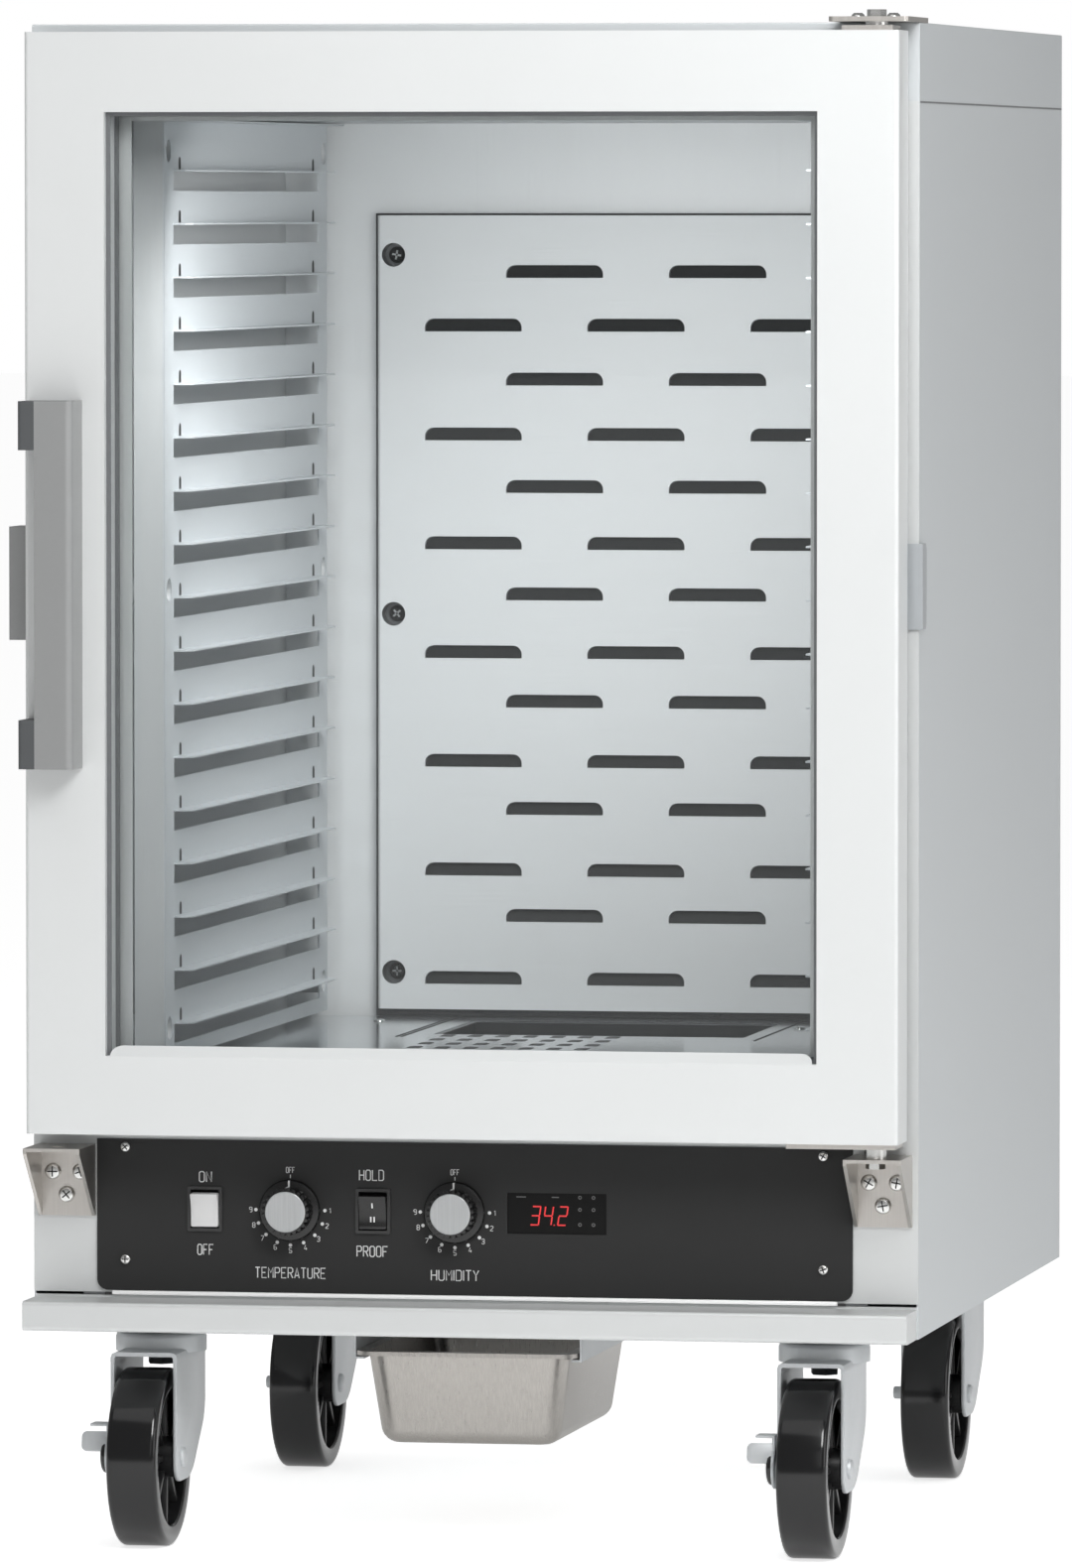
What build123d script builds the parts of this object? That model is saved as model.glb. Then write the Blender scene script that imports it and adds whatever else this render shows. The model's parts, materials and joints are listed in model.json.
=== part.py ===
from build123d import *
import os
from math import radians, tan

# Half-height proofing cabinet on four swivel casters, in millimetres.
# X runs to the viewer's right, Y away from the viewer, Z up from the floor.
# The origin is on the floor, in the middle of the width and of the depth over the handle.

os.makedirs("parts", exist_ok=True)

# Cabinet
cabinet_width = 635.0
cabinet_depth = 709.0
cabinet_top = 1081.0
cap_skirt = 55.0
cap_edge_radius = 1.0
skin = 1.2
lining = 1.0
side_wall = 44.0
back_wall = 29.0
ceiling_drop = 66.0
floor_z = 338.0
lining_drop = 44.0
frame_bottom_z = 182.8
frame_stile = 55.5
opening_bottom_z = 342.0
opening_lip = 2.0
frame_return = 12.0

# Base
base_bottom = 158.0
base_height = 21.0
base_reach = 45.0
base_sheet = 1.5
base_bend = 3.0
bead_height = 1.7
bead_depth = 3.5

# Door
door_side_gap = 6.25
door_top_gap = 6.0
door_bottom = 298.5
door_thickness = 42.0
door_gap = 12.0
door_edge_radius = 3.0
door_stile = 57.5
door_head = 56.3
door_foot = 55.7
pane = 4.0
pane_slack = 0.1
front_pane_depth = 8.5
seal_width = 3.0
seal_depth = 2.0
lip_side = 11.0
lip_top = 6.0
lip_bottom = 4.5
sill_inset = 3.4
sill_height = 9.8
sill_lean = 43.0
sill_corner = 8.5
gasket_width = 14.0
gasket_side_inset = 22.0
gasket_end_inset = 6.0
gasket_clearance = 0.5

# Handle and magnetic catch
handle_standoff = 34.0
handle_width = 27.2
handle_height = 258.5
handle_inset = 14.3
handle_sheet = 2.5
handle_radius = 5.0
end_cap_overhang = 12.0
end_cap_height = 34.4
end_cap_radius = 3.0
magnet_height = 80.0
magnet_width = 14.8
magnet_depth = 36.5
magnet_radius = 2.0
strike_height = 60.0
strike_sheet = 3.0
strike_leg = 20.5
strike_side_leg = 19.0
strike_chamfer = 4.0
catch_gap = 0.5

# Hinges
pivot_inset = 18.8
pivot_depth = 34.0
pivot_radius = 5.0
pivot_reach = 12.0
running_gap = 0.05
top_plate = 3.5
top_plate_width = 56.5
top_plate_front = 52.0
top_plate_back = 42.0
plate_corner = 3.0
leaf = 3.4
leaf_setback = 2.0
leaf_offset = 4.0
leaf_width = 36.0
leaf_depth = 36.0
strap_length = 77.0
strap_overhang = 16.5
bush_radius = 7.8
bush_gap = 0.3
bolt_across = 12.0
bolt_head = 5.0
bracket_inset = 4.0
bracket_width = 41.0
bracket_depth = 54.0
bracket_top_z = 288.0
bracket_bottom_z = 237.0
bracket_sheet = 2.5
bracket_foot = 4.0
bracket_screw_z = 268.3
bracket_screw_spread = 10.0
bracket_screw_drop = 16.2
top_screw_y = 14.0
top_screw_inset = 33.2
top_screw_spread = 12.6
top_screw_radius = 5.0
screw_radius = 6.0
screw_dome = 3.0
screw_edge = 1.8
screw_shank = 2.5
screw_length = 10.0
screw_slack = 0.15

# Slide racks
rack_stand = 38.5
rack_front = 60.7
rack_rear_gap = 15.0
rack_floor_gap = 5.0
rack_ceiling_gap = 1.0
rack_sheet = 1.2
level_count = 17
first_level_rise = 26.0
top_level_drop = 35.4
slide_width = 13.5
slide_setback = 31.0
slide_corner = 5.0
lance_height = 14.0
relief_width = 1.6
relief_height = 9.0
relief_inset = 21.5
spacer_radius = 8.2
spacer_wall = 1.0
spacer_floor = 2.0
rack_hole_inset = 15.0
rack_hole_rear_inset = 13.0
rack_hole_top_inset = 22.0
rack_hole_bottom_inset = 23.0

# Louvred duct panel
duct_side_gap = 74.5
duct_floor_gap = 5.4
duct_head = 69.5
duct_space = 18.0
duct_edge_radius = 3.0
louvre_width = 74.5
louvre_height = 9.8
louvre_corner = 6.8
louvre_scoop = 6.0
louvre_margin = 36.75
louvre_rows = 7
outer_louvre_rise = 19.3
outer_louvre_head = 87.8
inner_louvre_rise = 67.0
inner_louvre_head = 47.3
duct_hole_radius = 9.0
duct_hole_inset = 12.5
duct_hole_top_inset = 29.9
duct_hole_bottom_inset = 28.0

# Interior floor
well_width = 234.0
well_rear_gap = 44.0
well_depth = 158.0
drain_radius = 4.7
drain_columns = 7
drain_rows = 6
drain_pitch_x = 20.7
drain_pitch_y = 43.3
drain_middle_x = -40.9
drain_well_gap = 14.0

# Humidity pan and heaters
water_pan_sheet = 1.0
water_pan_slack = 2.0
water_pan_depth = 58.0
water_pan_flange = 9.0
plate_heater_width = 180.0
plate_heater_depth = 120.0
plate_heater_height = 6.0
tube_radius = 4.0
tube_pitch = 22.0
tube_z = 296.0
tube_tail = 8.0

# Blower
blower_z = 232.0
blower_setback = 35.0
housing_length = 210.0
housing_radius = 36.0
housing_sheet = 1.5
throat_depth = 45.0
throat_gap = 0.5
intake_length = 160.0
intake_height = 32.0
blower_radius = 29.0
blower_length = 190.0
blower_disc = 2.0
blade_count = 16
blade_sheet = 1.2
blade_depth = 7.0
motor_radius = 31.0
motor_length = 62.0
motor_shaft = 3.0
motor_hole_slack = 2.0

# Drip pan
pan_width = 162.0
pan_length = 265.0
pan_front = 137.0
pan_x = -32.5
pan_top_z = 130.5
pan_sheet = 1.6
pan_rim = 8.7
pan_body_depth = 66.0
pan_taper = 7.8
pan_corner = 14.0
pan_foot_radius = 9.0
pan_lip = 4.7
rail_length = 248.0
rail_setback = 13.0
rail_sheet = 1.5
rail_lip = 6.0
rail_flange = 10.0
rail_side_gap = 0.8
rail_rest_gap = 0.1

# Control panel
panel_side_gap = 46.25
panel_top_z = 292.0
panel_bottom_z = 184.3
panel_sheet = 2.0
panel_corner = 8.0
cutout_inset = 36.25
cutout_height = 66.0
controls_z = 243.0
panel_screw_inset = 20.75
panel_screw_top_z = 286.3
panel_screw_bottom_z = 206.4
panel_screw_radius = 3.9
panel_screw_dome = 2.4
panel_screw_edge = 1.4
panel_screw_shank = 2.0

# Switches
power_switch_x = -193.0
mode_switch_x = -71.6
bezel_width = 25.0
bezel_height = 31.8
bezel_proud = 1.5
bezel_corner = 1.2
switch_width = 23.4
switch_height = 30.0
switch_depth = 22.0
switch_slack = 0.1
recess_width = 20.6
recess_height = 27.4
recess_depth = 13.0
rocker_width = 20.0
rocker_height = 24.2
rocker_proud = 3.6
rocker_hollow = 2.0
rocker_back_height = 23.0
rocker_core_height = 10.0
rocker_core_depth = 6.0
rocker_shoulder = 2.0
rocker_tilt = 9.0
rocker_pivot_depth = 2.5
rocker_pivot_radius = 1.5
rocker_pivot_reach = 1.0

# Dials
temperature_dial_x = -131.3
humidity_dial_x = -12.8
knob_radius = 21.8
knob_skirt = 4.5
knob_skirt_edge = 1.0
knob_body_radius = 17.0
knob_height = 19.5
knob_gap = 0.6
knob_flutes = 12
flute_radius = 1.8
knob_cap_radius = 14.4
knob_cap_step = 0.8
shaft_radius = 3.0
shaft_length = 13.0
dial_body = 38.0
dial_body_depth = 25.0
dial_bush_radius = 4.8
bush_slack = 0.2

# Display
display_x = 60.3
display_width = 71.0
display_height = 29.0
display_border = 4.0
display_flange = 1.5
display_depth = 48.0

# Casters
wheel_radius = 63.5
wheel_width = 36.0
tread_edge = 2.6
rim_radius = 49.0
web = 5.0
hub_radius = 15.0
hub_width = 41.6
spoke_count = 8
spoke_sheet = 4.5
spoke_width = 27.0
spoke_bite = 1.0
axle_radius = 6.0
axle_head_radius = 7.0
axle_head = 3.0
axle_tail = 8.0
axle_tail_radius = 4.7
caster_trail = 43.0
caster_inset = 77.5
caster_front = 69.0
caster_rear = 67.0
fork_gap = 42.4
fork_sheet = 3.0
fork_boss = 17.0
fork_back = 38.0
fork_shoulder_z = 88.0
fork_heel = 25.0
fork_back_radius = 25.0
fork_top_z = 139.0
fork_corner = 2.6
crown_radius = 32.5
crown_rise = 11.0
crown_edge = 3.0
race_radius = 28.5
race_gap = 0.5
caster_plate = 3.0
caster_plate_width = 68.0
caster_plate_length = 95.0
caster_plate_corner = 6.0
kingpin_radius = 6.0
nut_radius = 10.3
nut_height = 9.0
nut_gap = 0.8

# Brake pedals
pedal_gap = 3.0
pedal_sheet = 2.0
pedal_radius = 15.0
pedal_width = 16.0
pedal_height = 23.5
pedal_upper_reach = 14.0
pedal_lower_reach = 20.0
pedal_lower_rise = 3.5
pedal_lower_height = 14.5
pedal_lower_lean = 14.0
pedal_lower_corner = 4.0
pedal_dome_radius = 12.5
pedal_dome = 4.5
pedal_dome_edge = 2.6
pedal_end_gap = 0.4

# Power inlet
inlet_x = 215.0
inlet_z = 215.0
inlet_width = 48.0
inlet_height = 28.0
inlet_slack = 0.2
inlet_depth = 30.0
inlet_border = 5.0
inlet_flange = 2.0
socket_width = 27.0
socket_height = 18.0
socket_depth = 18.0
contact_width = 2.0
contact_height = 6.0
contact_length = 14.0
contact_spacing = 7.0

# Places that follow from the sizes above
reach_in_front = handle_standoff + door_thickness + door_gap
front_y = reach_in_front - (cabinet_depth + reach_in_front) / 2
back_y = front_y + cabinet_depth
half_width = cabinet_width / 2
inner_half = half_width - skin
seam_z = cabinet_top - cap_skirt
ceiling_z = cabinet_top - ceiling_drop
liner_x = half_width - side_wall
liner_back_y = back_y - back_wall
opening_half = half_width - frame_stile
opening_top_z = ceiling_z - opening_lip
base_top = base_bottom + base_height
door_back_y = front_y - door_gap
door_front_y = door_back_y - door_thickness
door_half = half_width - door_side_gap
door_top = cabinet_top - door_top_gap
door_middle_z = (door_bottom + door_top) / 2
window_half = door_half - door_stile
window_bottom = door_bottom + door_foot
window_top = door_top - door_head
front_pane_y = door_front_y + front_pane_depth
rear_pane_y = door_back_y - skin - pane
pivot_x = door_half - pivot_inset
pivot_y = front_y - pivot_depth
bracket_x = half_width - bracket_inset - bracket_width / 2
top_screw_x = half_width - top_screw_inset
duct_y = liner_back_y - duct_space
duct_half = liner_x - duct_side_gap
duct_bottom_z = floor_z + duct_floor_gap
duct_top_z = ceiling_z - duct_head
rack_x = liner_x - rack_stand
rack_y = front_y + rack_front
rack_length = duct_y - rack_rear_gap - rack_y
rack_bottom_z = floor_z + rack_floor_gap
rack_top_z = ceiling_z - rack_ceiling_gap
slide_length = rack_length - 2 * slide_setback
first_level_z = rack_bottom_z + first_level_rise
level_pitch = (rack_top_z - top_level_drop - first_level_z) / (level_count - 1)
well_rear_y = duct_y - well_rear_gap
well_front_y = well_rear_y - well_depth
panel_y = front_y - panel_sheet
panel_half = half_width - panel_side_gap
panel_screw_x = panel_half - panel_screw_inset
screw_hole = screw_shank + screw_slack
panel_screw_hole = panel_screw_shank + screw_slack


def block(x, y, z, mode=Mode.ADD):
    """Adds a rectangular block between three pairs of limits to the part being built."""
    with Locations(((x[0] + x[1]) / 2, (y[0] + y[1]) / 2, (z[0] + z[1]) / 2)):
        Box(x[1] - x[0], y[1] - y[0], z[1] - z[0], mode=mode)


def about(middle, size):
    """Gives the two limits of a size centred on a middle."""
    return (middle - size / 2, middle + size / 2)


def on_side(side, near, far):
    """Gives limits measured outward from the centre line to the left (-1) or right (1)."""
    return (near, far) if side > 0 else (-far, -near)


def facing(x, y, z):
    """Gives the plane through a point that looks towards the viewer, X right and Z up."""
    return Plane(origin=(x, y, z), x_dir=(1, 0, 0), z_dir=(0, -1, 0))


def sideways(x, y, z):
    """Gives the plane through a point that looks to the right, with Y across and Z up."""
    return Plane(origin=(x, y, z), x_dir=(0, 1, 0), z_dir=(1, 0, 0))


def save(part, name):
    """Labels a finished part and writes it to its own file."""
    part.label = name
    export_step(part, f"parts/{name}.step")


# Outer skin
for side, name in ((-1, "side_panel_left"), (1, "side_panel_right")):
    with BuildPart() as side_panel:
        block(on_side(side, inner_half, half_width), (front_y + skin, back_y), (base_bottom, seam_z))
    save(side_panel.part, name)

with BuildPart() as top_cap:
    block(about(0, cabinet_width), (front_y, back_y), (seam_z, cabinet_top))
    fillet(top_cap.edges().group_by(Axis.Z)[-1], cap_edge_radius)
    inner_y = (front_y + skin, back_y - skin)
    block(about(0, 2 * inner_half), inner_y, (seam_z, cabinet_top - skin), Mode.SUBTRACT)
    with BuildSketch(Plane.XY.offset(cabinet_top)):
        with Locations((top_screw_x, front_y + top_screw_y)):
            with GridLocations(2 * top_screw_spread, 1, 2, 1):
                Circle(screw_hole)
    extrude(amount=-skin, mode=Mode.SUBTRACT)
save(top_cap.part, "top_cap")

with BuildPart() as back_panel:
    with BuildSketch(facing(0, back_y, 0)):
        with Locations((0, (base_bottom + seam_z) / 2)):
            Rectangle(2 * inner_half, seam_z - base_bottom)
        with Locations((inlet_x, inlet_z)):
            Rectangle(inlet_width + inlet_slack, inlet_height + inlet_slack, mode=Mode.SUBTRACT)
    extrude(amount=skin)
save(back_panel.part, "back_panel")

with BuildPart() as front_frame:
    with BuildSketch(facing(0, front_y + skin, 0)):
        with Locations((0, (frame_bottom_z + seam_z) / 2)):
            Rectangle(cabinet_width, seam_z - frame_bottom_z)
        with Locations((0, (opening_bottom_z + opening_top_z) / 2)):
            Rectangle(2 * opening_half, opening_top_z - opening_bottom_z, mode=Mode.SUBTRACT)
        with Locations((0, controls_z)):
            Rectangle(2 * (panel_half - cutout_inset), cutout_height, mode=Mode.SUBTRACT)
        with Locations((0, (panel_screw_bottom_z + panel_screw_top_z) / 2)):
            with GridLocations(2 * panel_screw_x, panel_screw_top_z - panel_screw_bottom_z, 2, 2):
                Circle(panel_screw_hole, mode=Mode.SUBTRACT)
        for side in (-1, 1):
            with Locations((side * bracket_x, bracket_screw_z)):
                with GridLocations(2 * bracket_screw_spread, 1, 2, 1):
                    Circle(screw_hole, mode=Mode.SUBTRACT)
            with Locations((side * bracket_x, bracket_screw_z - bracket_screw_drop)):
                Circle(screw_hole, mode=Mode.SUBTRACT)
    extrude(amount=skin)
    for side in (-1, 1):
        fold_y = (front_y + skin, front_y + skin + frame_return)
        block(on_side(side, inner_half - skin, inner_half), fold_y, (frame_bottom_z, seam_z))
save(front_frame.part, "front_frame")

# Lining of the chamber
lining_bottom_z = floor_z - lining_drop
for side, name in ((-1, "liner_left"), (1, "liner_right")):
    with BuildPart() as liner_side:
        liner_y = (front_y + skin, liner_back_y)
        block(on_side(side, liner_x, liner_x + lining), liner_y, (lining_bottom_z, ceiling_z))
    save(liner_side.part, name)

liner_span = about(0, 2 * (liner_x + lining))
with BuildPart() as liner_back:
    block(liner_span, (liner_back_y, liner_back_y + lining), (lining_bottom_z, ceiling_z))
save(liner_back.part, "liner_back")

with BuildPart() as liner_ceiling:
    block(liner_span, (front_y + skin, liner_back_y + lining), (ceiling_z, ceiling_z + lining))
save(liner_ceiling.part, "liner_ceiling")

with BuildPart() as insulation:
    slab_front_y = front_y + skin + frame_return
    slab_z = (floor_z, ceiling_z + lining)
    for side in (-1, 1):
        slab_x = on_side(side, liner_x + lining, inner_half)
        block(slab_x, (slab_front_y, liner_back_y + lining), slab_z)
    block(about(0, 2 * inner_half), (liner_back_y + lining, back_y - skin), slab_z)
    top_slab_z = (ceiling_z + lining, cabinet_top - skin)
    block(about(0, 2 * inner_half), (slab_front_y, back_y - skin), top_slab_z)
save(insulation.part, "insulation")

well_middle_y = (well_front_y + well_rear_y) / 2
drain_middle_y = well_front_y - drain_well_gap - drain_pitch_y * (drain_rows - 1) / 2
with BuildPart() as interior_floor:
    with BuildSketch(Plane.XY.offset(floor_z - lining)):
        with Locations((0, (front_y + skin + duct_y) / 2)):
            Rectangle(2 * liner_x, duct_y - front_y - skin)
        with Locations((0, well_middle_y)):
            Rectangle(well_width, well_depth, mode=Mode.SUBTRACT)
        with Locations((drain_middle_x, drain_middle_y)):
            with GridLocations(drain_pitch_x, drain_pitch_y, drain_columns, drain_rows):
                RegularPolygon(drain_radius, 8, mode=Mode.SUBTRACT)
    extrude(amount=lining)
save(interior_floor.part, "interior_floor")

# Louvred duct panel: each louvre is a scoop pressed back into the duct, open below
with BuildSketch() as scoop_outline:
    with Locations((0, (louvre_height + lining) / 2)):
        Rectangle(louvre_width + 2 * lining, louvre_height + lining)
    fillet(scoop_outline.vertices().group_by(Axis.Y)[-1], louvre_corner + lining)

with BuildSketch() as slot_outline:
    with Locations((0, louvre_height / 2)):
        Rectangle(louvre_width, louvre_height)
    fillet(slot_outline.vertices().group_by(Axis.Y)[-1], louvre_corner)

louvre_spacing = duct_half - louvre_margin - louvre_width / 2
duct_height = duct_top_z - duct_bottom_z
outer_louvre_pitch = (duct_height - outer_louvre_rise - outer_louvre_head) / (louvre_rows - 1)
inner_louvre_pitch = (duct_height - inner_louvre_rise - inner_louvre_head) / (louvre_rows - 1)
louvre_places = []
for row in range(louvre_rows):
    outer_row_z = duct_bottom_z + outer_louvre_rise + row * outer_louvre_pitch
    inner_row_z = duct_bottom_z + inner_louvre_rise + row * inner_louvre_pitch
    louvre_places += [(column * louvre_spacing, outer_row_z) for column in (-1, 0, 1)]
    louvre_places += [(column * louvre_spacing / 2, inner_row_z) for column in (-1, 1)]

duct_hole_x = duct_half - duct_hole_inset
duct_hole_low_z = duct_bottom_z + duct_hole_bottom_inset
duct_hole_high_z = duct_top_z - duct_hole_top_inset
duct_hole_places = []
for hole_z in (duct_hole_low_z, (duct_hole_low_z + duct_hole_high_z) / 2, duct_hole_high_z):
    duct_hole_places += [(-duct_hole_x, hole_z), (duct_hole_x, hole_z)]

with BuildPart() as duct_panel:
    block((-duct_half, duct_half), (duct_y, liner_back_y), (duct_bottom_z, duct_top_z))
    front_uprights = duct_panel.edges().filter_by(Axis.Z).group_by(Axis.Y)[0]
    fillet(front_uprights, duct_edge_radius)
    inner_y = (duct_y + lining, liner_back_y)
    inner_x = (lining - duct_half, duct_half - lining)
    block(inner_x, inner_y, (duct_bottom_z, duct_top_z - lining), Mode.SUBTRACT)
    with BuildSketch(facing(0, duct_y, 0)):
        with Locations(*louvre_places):
            add(scoop_outline.sketch)
    extrude(amount=-louvre_scoop - lining)
    with BuildSketch(facing(0, duct_y, 0)):
        with Locations(*louvre_places):
            add(slot_outline.sketch)
    extrude(amount=-louvre_scoop, mode=Mode.SUBTRACT)
    with BuildSketch(facing(0, duct_y, 0)):
        with Locations(*duct_hole_places):
            Circle(duct_hole_radius)
    extrude(amount=-lining, mode=Mode.SUBTRACT)
save(duct_panel.part, "duct_panel")

# Spacer cups from the duct panel to the back of the chamber
with BuildPart() as duct_spacers:
    with BuildSketch(facing(0, liner_back_y, 0)):
        with Locations(*duct_hole_places):
            Circle(duct_hole_radius + spacer_wall)
    extrude(amount=duct_space - lining)
    with BuildSketch(facing(0, liner_back_y - spacer_floor, 0)):
        with Locations(*duct_hole_places):
            Circle(duct_hole_radius)
    extrude(amount=duct_space, mode=Mode.SUBTRACT)
save(duct_spacers.part, "duct_spacers")

# Slide racks: each slide is lanced out of the rack and bent level into the chamber
slide_y = rack_y + slide_setback
rack_hole_low_z = rack_bottom_z + rack_hole_bottom_inset
rack_hole_high_z = rack_top_z - rack_hole_top_inset
rack_hole_places = []
for hole_z in (rack_hole_low_z, (rack_hole_low_z + rack_hole_high_z) / 2, rack_hole_high_z):
    rack_hole_places.append((rack_hole_inset, hole_z))
    rack_hole_places.append((rack_length - rack_hole_rear_inset, hole_z))
for side, name in ((-1, "slide_rack_left"), (1, "slide_rack_right")):
    rack_outer_x = rack_x + rack_sheet
    slide_tip_x = rack_x - slide_width
    with BuildPart() as slide_rack:
        rack_y_limits = (rack_y, rack_y + rack_length)
        block(on_side(side, rack_x, rack_outer_x), rack_y_limits, (rack_bottom_z, rack_top_z))
        flange_z = (rack_top_z - rack_sheet, rack_top_z)
        block(on_side(side, slide_tip_x, rack_x), rack_y_limits, flange_z)
        with BuildSketch(sideways(side * rack_x, rack_y, 0)):
            for level in range(level_count):
                level_z = first_level_z + level * level_pitch
                with Locations((slide_setback + slide_length / 2, level_z - rack_sheet - lance_height / 2)):
                    Rectangle(slide_length, lance_height)
                relief_y = (relief_inset + slide_setback, slide_setback + slide_length - relief_inset)
                for relief_place in relief_y:
                    with Locations((relief_place, level_z + relief_height / 2)):
                        Rectangle(relief_width, relief_height)
            with Locations(*rack_hole_places):
                Circle(spacer_radius)
        extrude(amount=side * rack_sheet, mode=Mode.SUBTRACT)
        for level in range(level_count):
            level_z = first_level_z + level * level_pitch
            slide_x = on_side(side, slide_tip_x, rack_outer_x)
            block(slide_x, (slide_y, slide_y + slide_length), (level_z - rack_sheet, level_z))
        tips = slide_rack.edges().filter_by(Axis.Z)
        tips = tips.filter_by(lambda edge: abs(abs(edge.center().X) - slide_tip_x) < 0.1)
        tips = tips.filter_by(lambda edge: edge.center().Z < rack_top_z - level_pitch / 2)
        chamfer(tips, slide_corner)
    save(slide_rack.part, name)

with BuildPart() as rack_spacers:
    for side in (-1, 1):
        spacer_length = rack_stand - rack_sheet
        with BuildSketch(sideways(side * liner_x, rack_y, 0)):
            with Locations(*rack_hole_places):
                Circle(spacer_radius + spacer_wall)
        extrude(amount=-side * spacer_length)
        with BuildSketch(sideways(side * (liner_x - spacer_floor), rack_y, 0)):
            with Locations(*rack_hole_places):
                Circle(spacer_radius)
        extrude(amount=-side * spacer_length, mode=Mode.SUBTRACT)
save(rack_spacers.part, "rack_spacers")

# Humidity pan under the floor opening, with its heater plate
floor_under_z = floor_z - lining
pan_half = well_width / 2 - water_pan_slack
water_pan_y = (well_front_y + water_pan_slack, well_rear_y - water_pan_slack)
water_pan_bottom_z = floor_under_z - water_pan_depth
with BuildPart() as humidity_pan:
    flange_x = about(0, well_width + 2 * water_pan_flange)
    flange_y = about(well_middle_y, well_depth + 2 * water_pan_flange)
    block(flange_x, flange_y, (floor_under_z - water_pan_sheet, floor_under_z))
    block((-pan_half, pan_half), water_pan_y, (water_pan_bottom_z, floor_under_z))
    inner_x = (water_pan_sheet - pan_half, pan_half - water_pan_sheet)
    inner_y = (water_pan_y[0] + water_pan_sheet, water_pan_y[1] - water_pan_sheet)
    block(inner_x, inner_y, (water_pan_bottom_z + water_pan_sheet, floor_under_z), Mode.SUBTRACT)
save(humidity_pan.part, "humidity_pan")

with BuildPart() as humidity_heater:
    heater_z = (water_pan_bottom_z - plate_heater_height, water_pan_bottom_z)
    block(about(0, plate_heater_width), about(well_middle_y, plate_heater_depth), heater_z)
save(humidity_heater.part, "humidity_heater")

# Blower in its scroll housing, blowing up past the air heater into the duct
blower_y = liner_back_y - blower_setback
throat_y = (liner_back_y - throat_gap - throat_depth, liner_back_y - throat_gap)
end_x = housing_length / 2
tube_y = (throat_y[0] + throat_y[1]) / 2
with BuildPart() as blower_housing:
    with BuildSketch(sideways(-end_x, blower_y, blower_z)):
        Circle(housing_radius)
    extrude(amount=housing_length)
    block((-end_x, end_x), throat_y, (blower_z, floor_under_z))
    with BuildSketch(sideways(housing_sheet - end_x, blower_y, blower_z)):
        Circle(housing_radius - housing_sheet)
    extrude(amount=housing_length - 2 * housing_sheet, mode=Mode.SUBTRACT)
    inner_x = (housing_sheet - end_x, end_x - housing_sheet)
    inner_y = (throat_y[0] + housing_sheet, throat_y[1] - housing_sheet)
    block(inner_x, inner_y, (blower_z, floor_under_z), Mode.SUBTRACT)
    intake_y = (blower_y - housing_radius, blower_y - housing_radius / 2)
    block(about(0, intake_length), intake_y, about(blower_z, intake_height), Mode.SUBTRACT)
    with BuildSketch(sideways(-end_x, blower_y, blower_z)):
        Circle(motor_shaft + motor_hole_slack)
    extrude(amount=housing_sheet, mode=Mode.SUBTRACT)
    with BuildSketch(sideways(-end_x, tube_y, tube_z)):
        with GridLocations(tube_pitch, 1, 2, 1):
            Circle(tube_radius)
    extrude(amount=housing_sheet, mode=Mode.SUBTRACT)
save(blower_housing.part, "blower_housing")

with BuildPart() as air_heater:
    bend = tube_pitch / 2
    leg_end_x = end_x - housing_sheet - tube_radius - bend - throat_gap
    with BuildLine() as tube_path:
        near_leg = Line((-end_x - tube_tail, tube_y - bend, tube_z), (leg_end_x, tube_y - bend, tube_z))
        turn = TangentArc(near_leg @ 1, (leg_end_x, tube_y + bend, tube_z), tangent=near_leg % 1)
        Line(turn @ 1, (-end_x - tube_tail, tube_y + bend, tube_z))
    with BuildSketch(sideways(-end_x - tube_tail, tube_y - bend, tube_z)):
        Circle(tube_radius)
    sweep(path=tube_path.wires()[0])
save(air_heater.part, "air_heater")

with BuildPart() as blower_wheel:
    for disc_x in (-blower_length / 2, blower_length / 2 - blower_disc):
        with BuildSketch(sideways(disc_x, blower_y, blower_z)):
            Circle(blower_radius)
        extrude(amount=blower_disc)
    with BuildSketch(sideways(-blower_length / 2, blower_y, blower_z)):
        with PolarLocations(blower_radius - blade_depth / 2, blade_count):
            Rectangle(blade_depth, blade_sheet)
    extrude(amount=blower_length)
    with BuildSketch(sideways(-blower_length / 2, blower_y, blower_z)):
        Circle(motor_shaft + running_gap)
    extrude(amount=blower_length, mode=Mode.SUBTRACT)
save(blower_wheel.part, "blower_wheel")

with BuildPart() as blower_motor:
    with BuildSketch(sideways(-end_x - motor_length, blower_y, blower_z)):
        Circle(motor_radius)
    extrude(amount=motor_length)
    with BuildSketch(sideways(-end_x, blower_y, blower_z)):
        Circle(motor_shaft)
    extrude(amount=end_x + blower_length / 2)
save(blower_motor.part, "blower_motor")

# Base: a folded tray whose closed front part makes the ledge under the door
base_y = (front_y - base_reach, back_y - skin)
ledge_rear_y = front_y + skin
with BuildPart() as base_frame:
    block((-inner_half, inner_half), base_y, (base_bottom, base_top))
    fillet(base_frame.edges().filter_by(Axis.X).group_by(Axis.Y)[0], base_bend)
    inner_x = (base_sheet - inner_half, inner_half - base_sheet)
    inner_y = (base_y[0] + base_sheet, base_y[1] - base_sheet)
    block(inner_x, inner_y, (base_bottom + base_sheet, base_top - base_sheet), Mode.SUBTRACT)
    open_y = (ledge_rear_y, base_y[1] - base_sheet)
    block(inner_x, open_y, (base_top - base_sheet, base_top), Mode.SUBTRACT)
    bead_y = (front_y, front_y + bead_depth)
    block((-inner_half, inner_half), bead_y, (base_top - base_sheet, base_top + bead_height))
save(base_frame.part, "base_frame")

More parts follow.
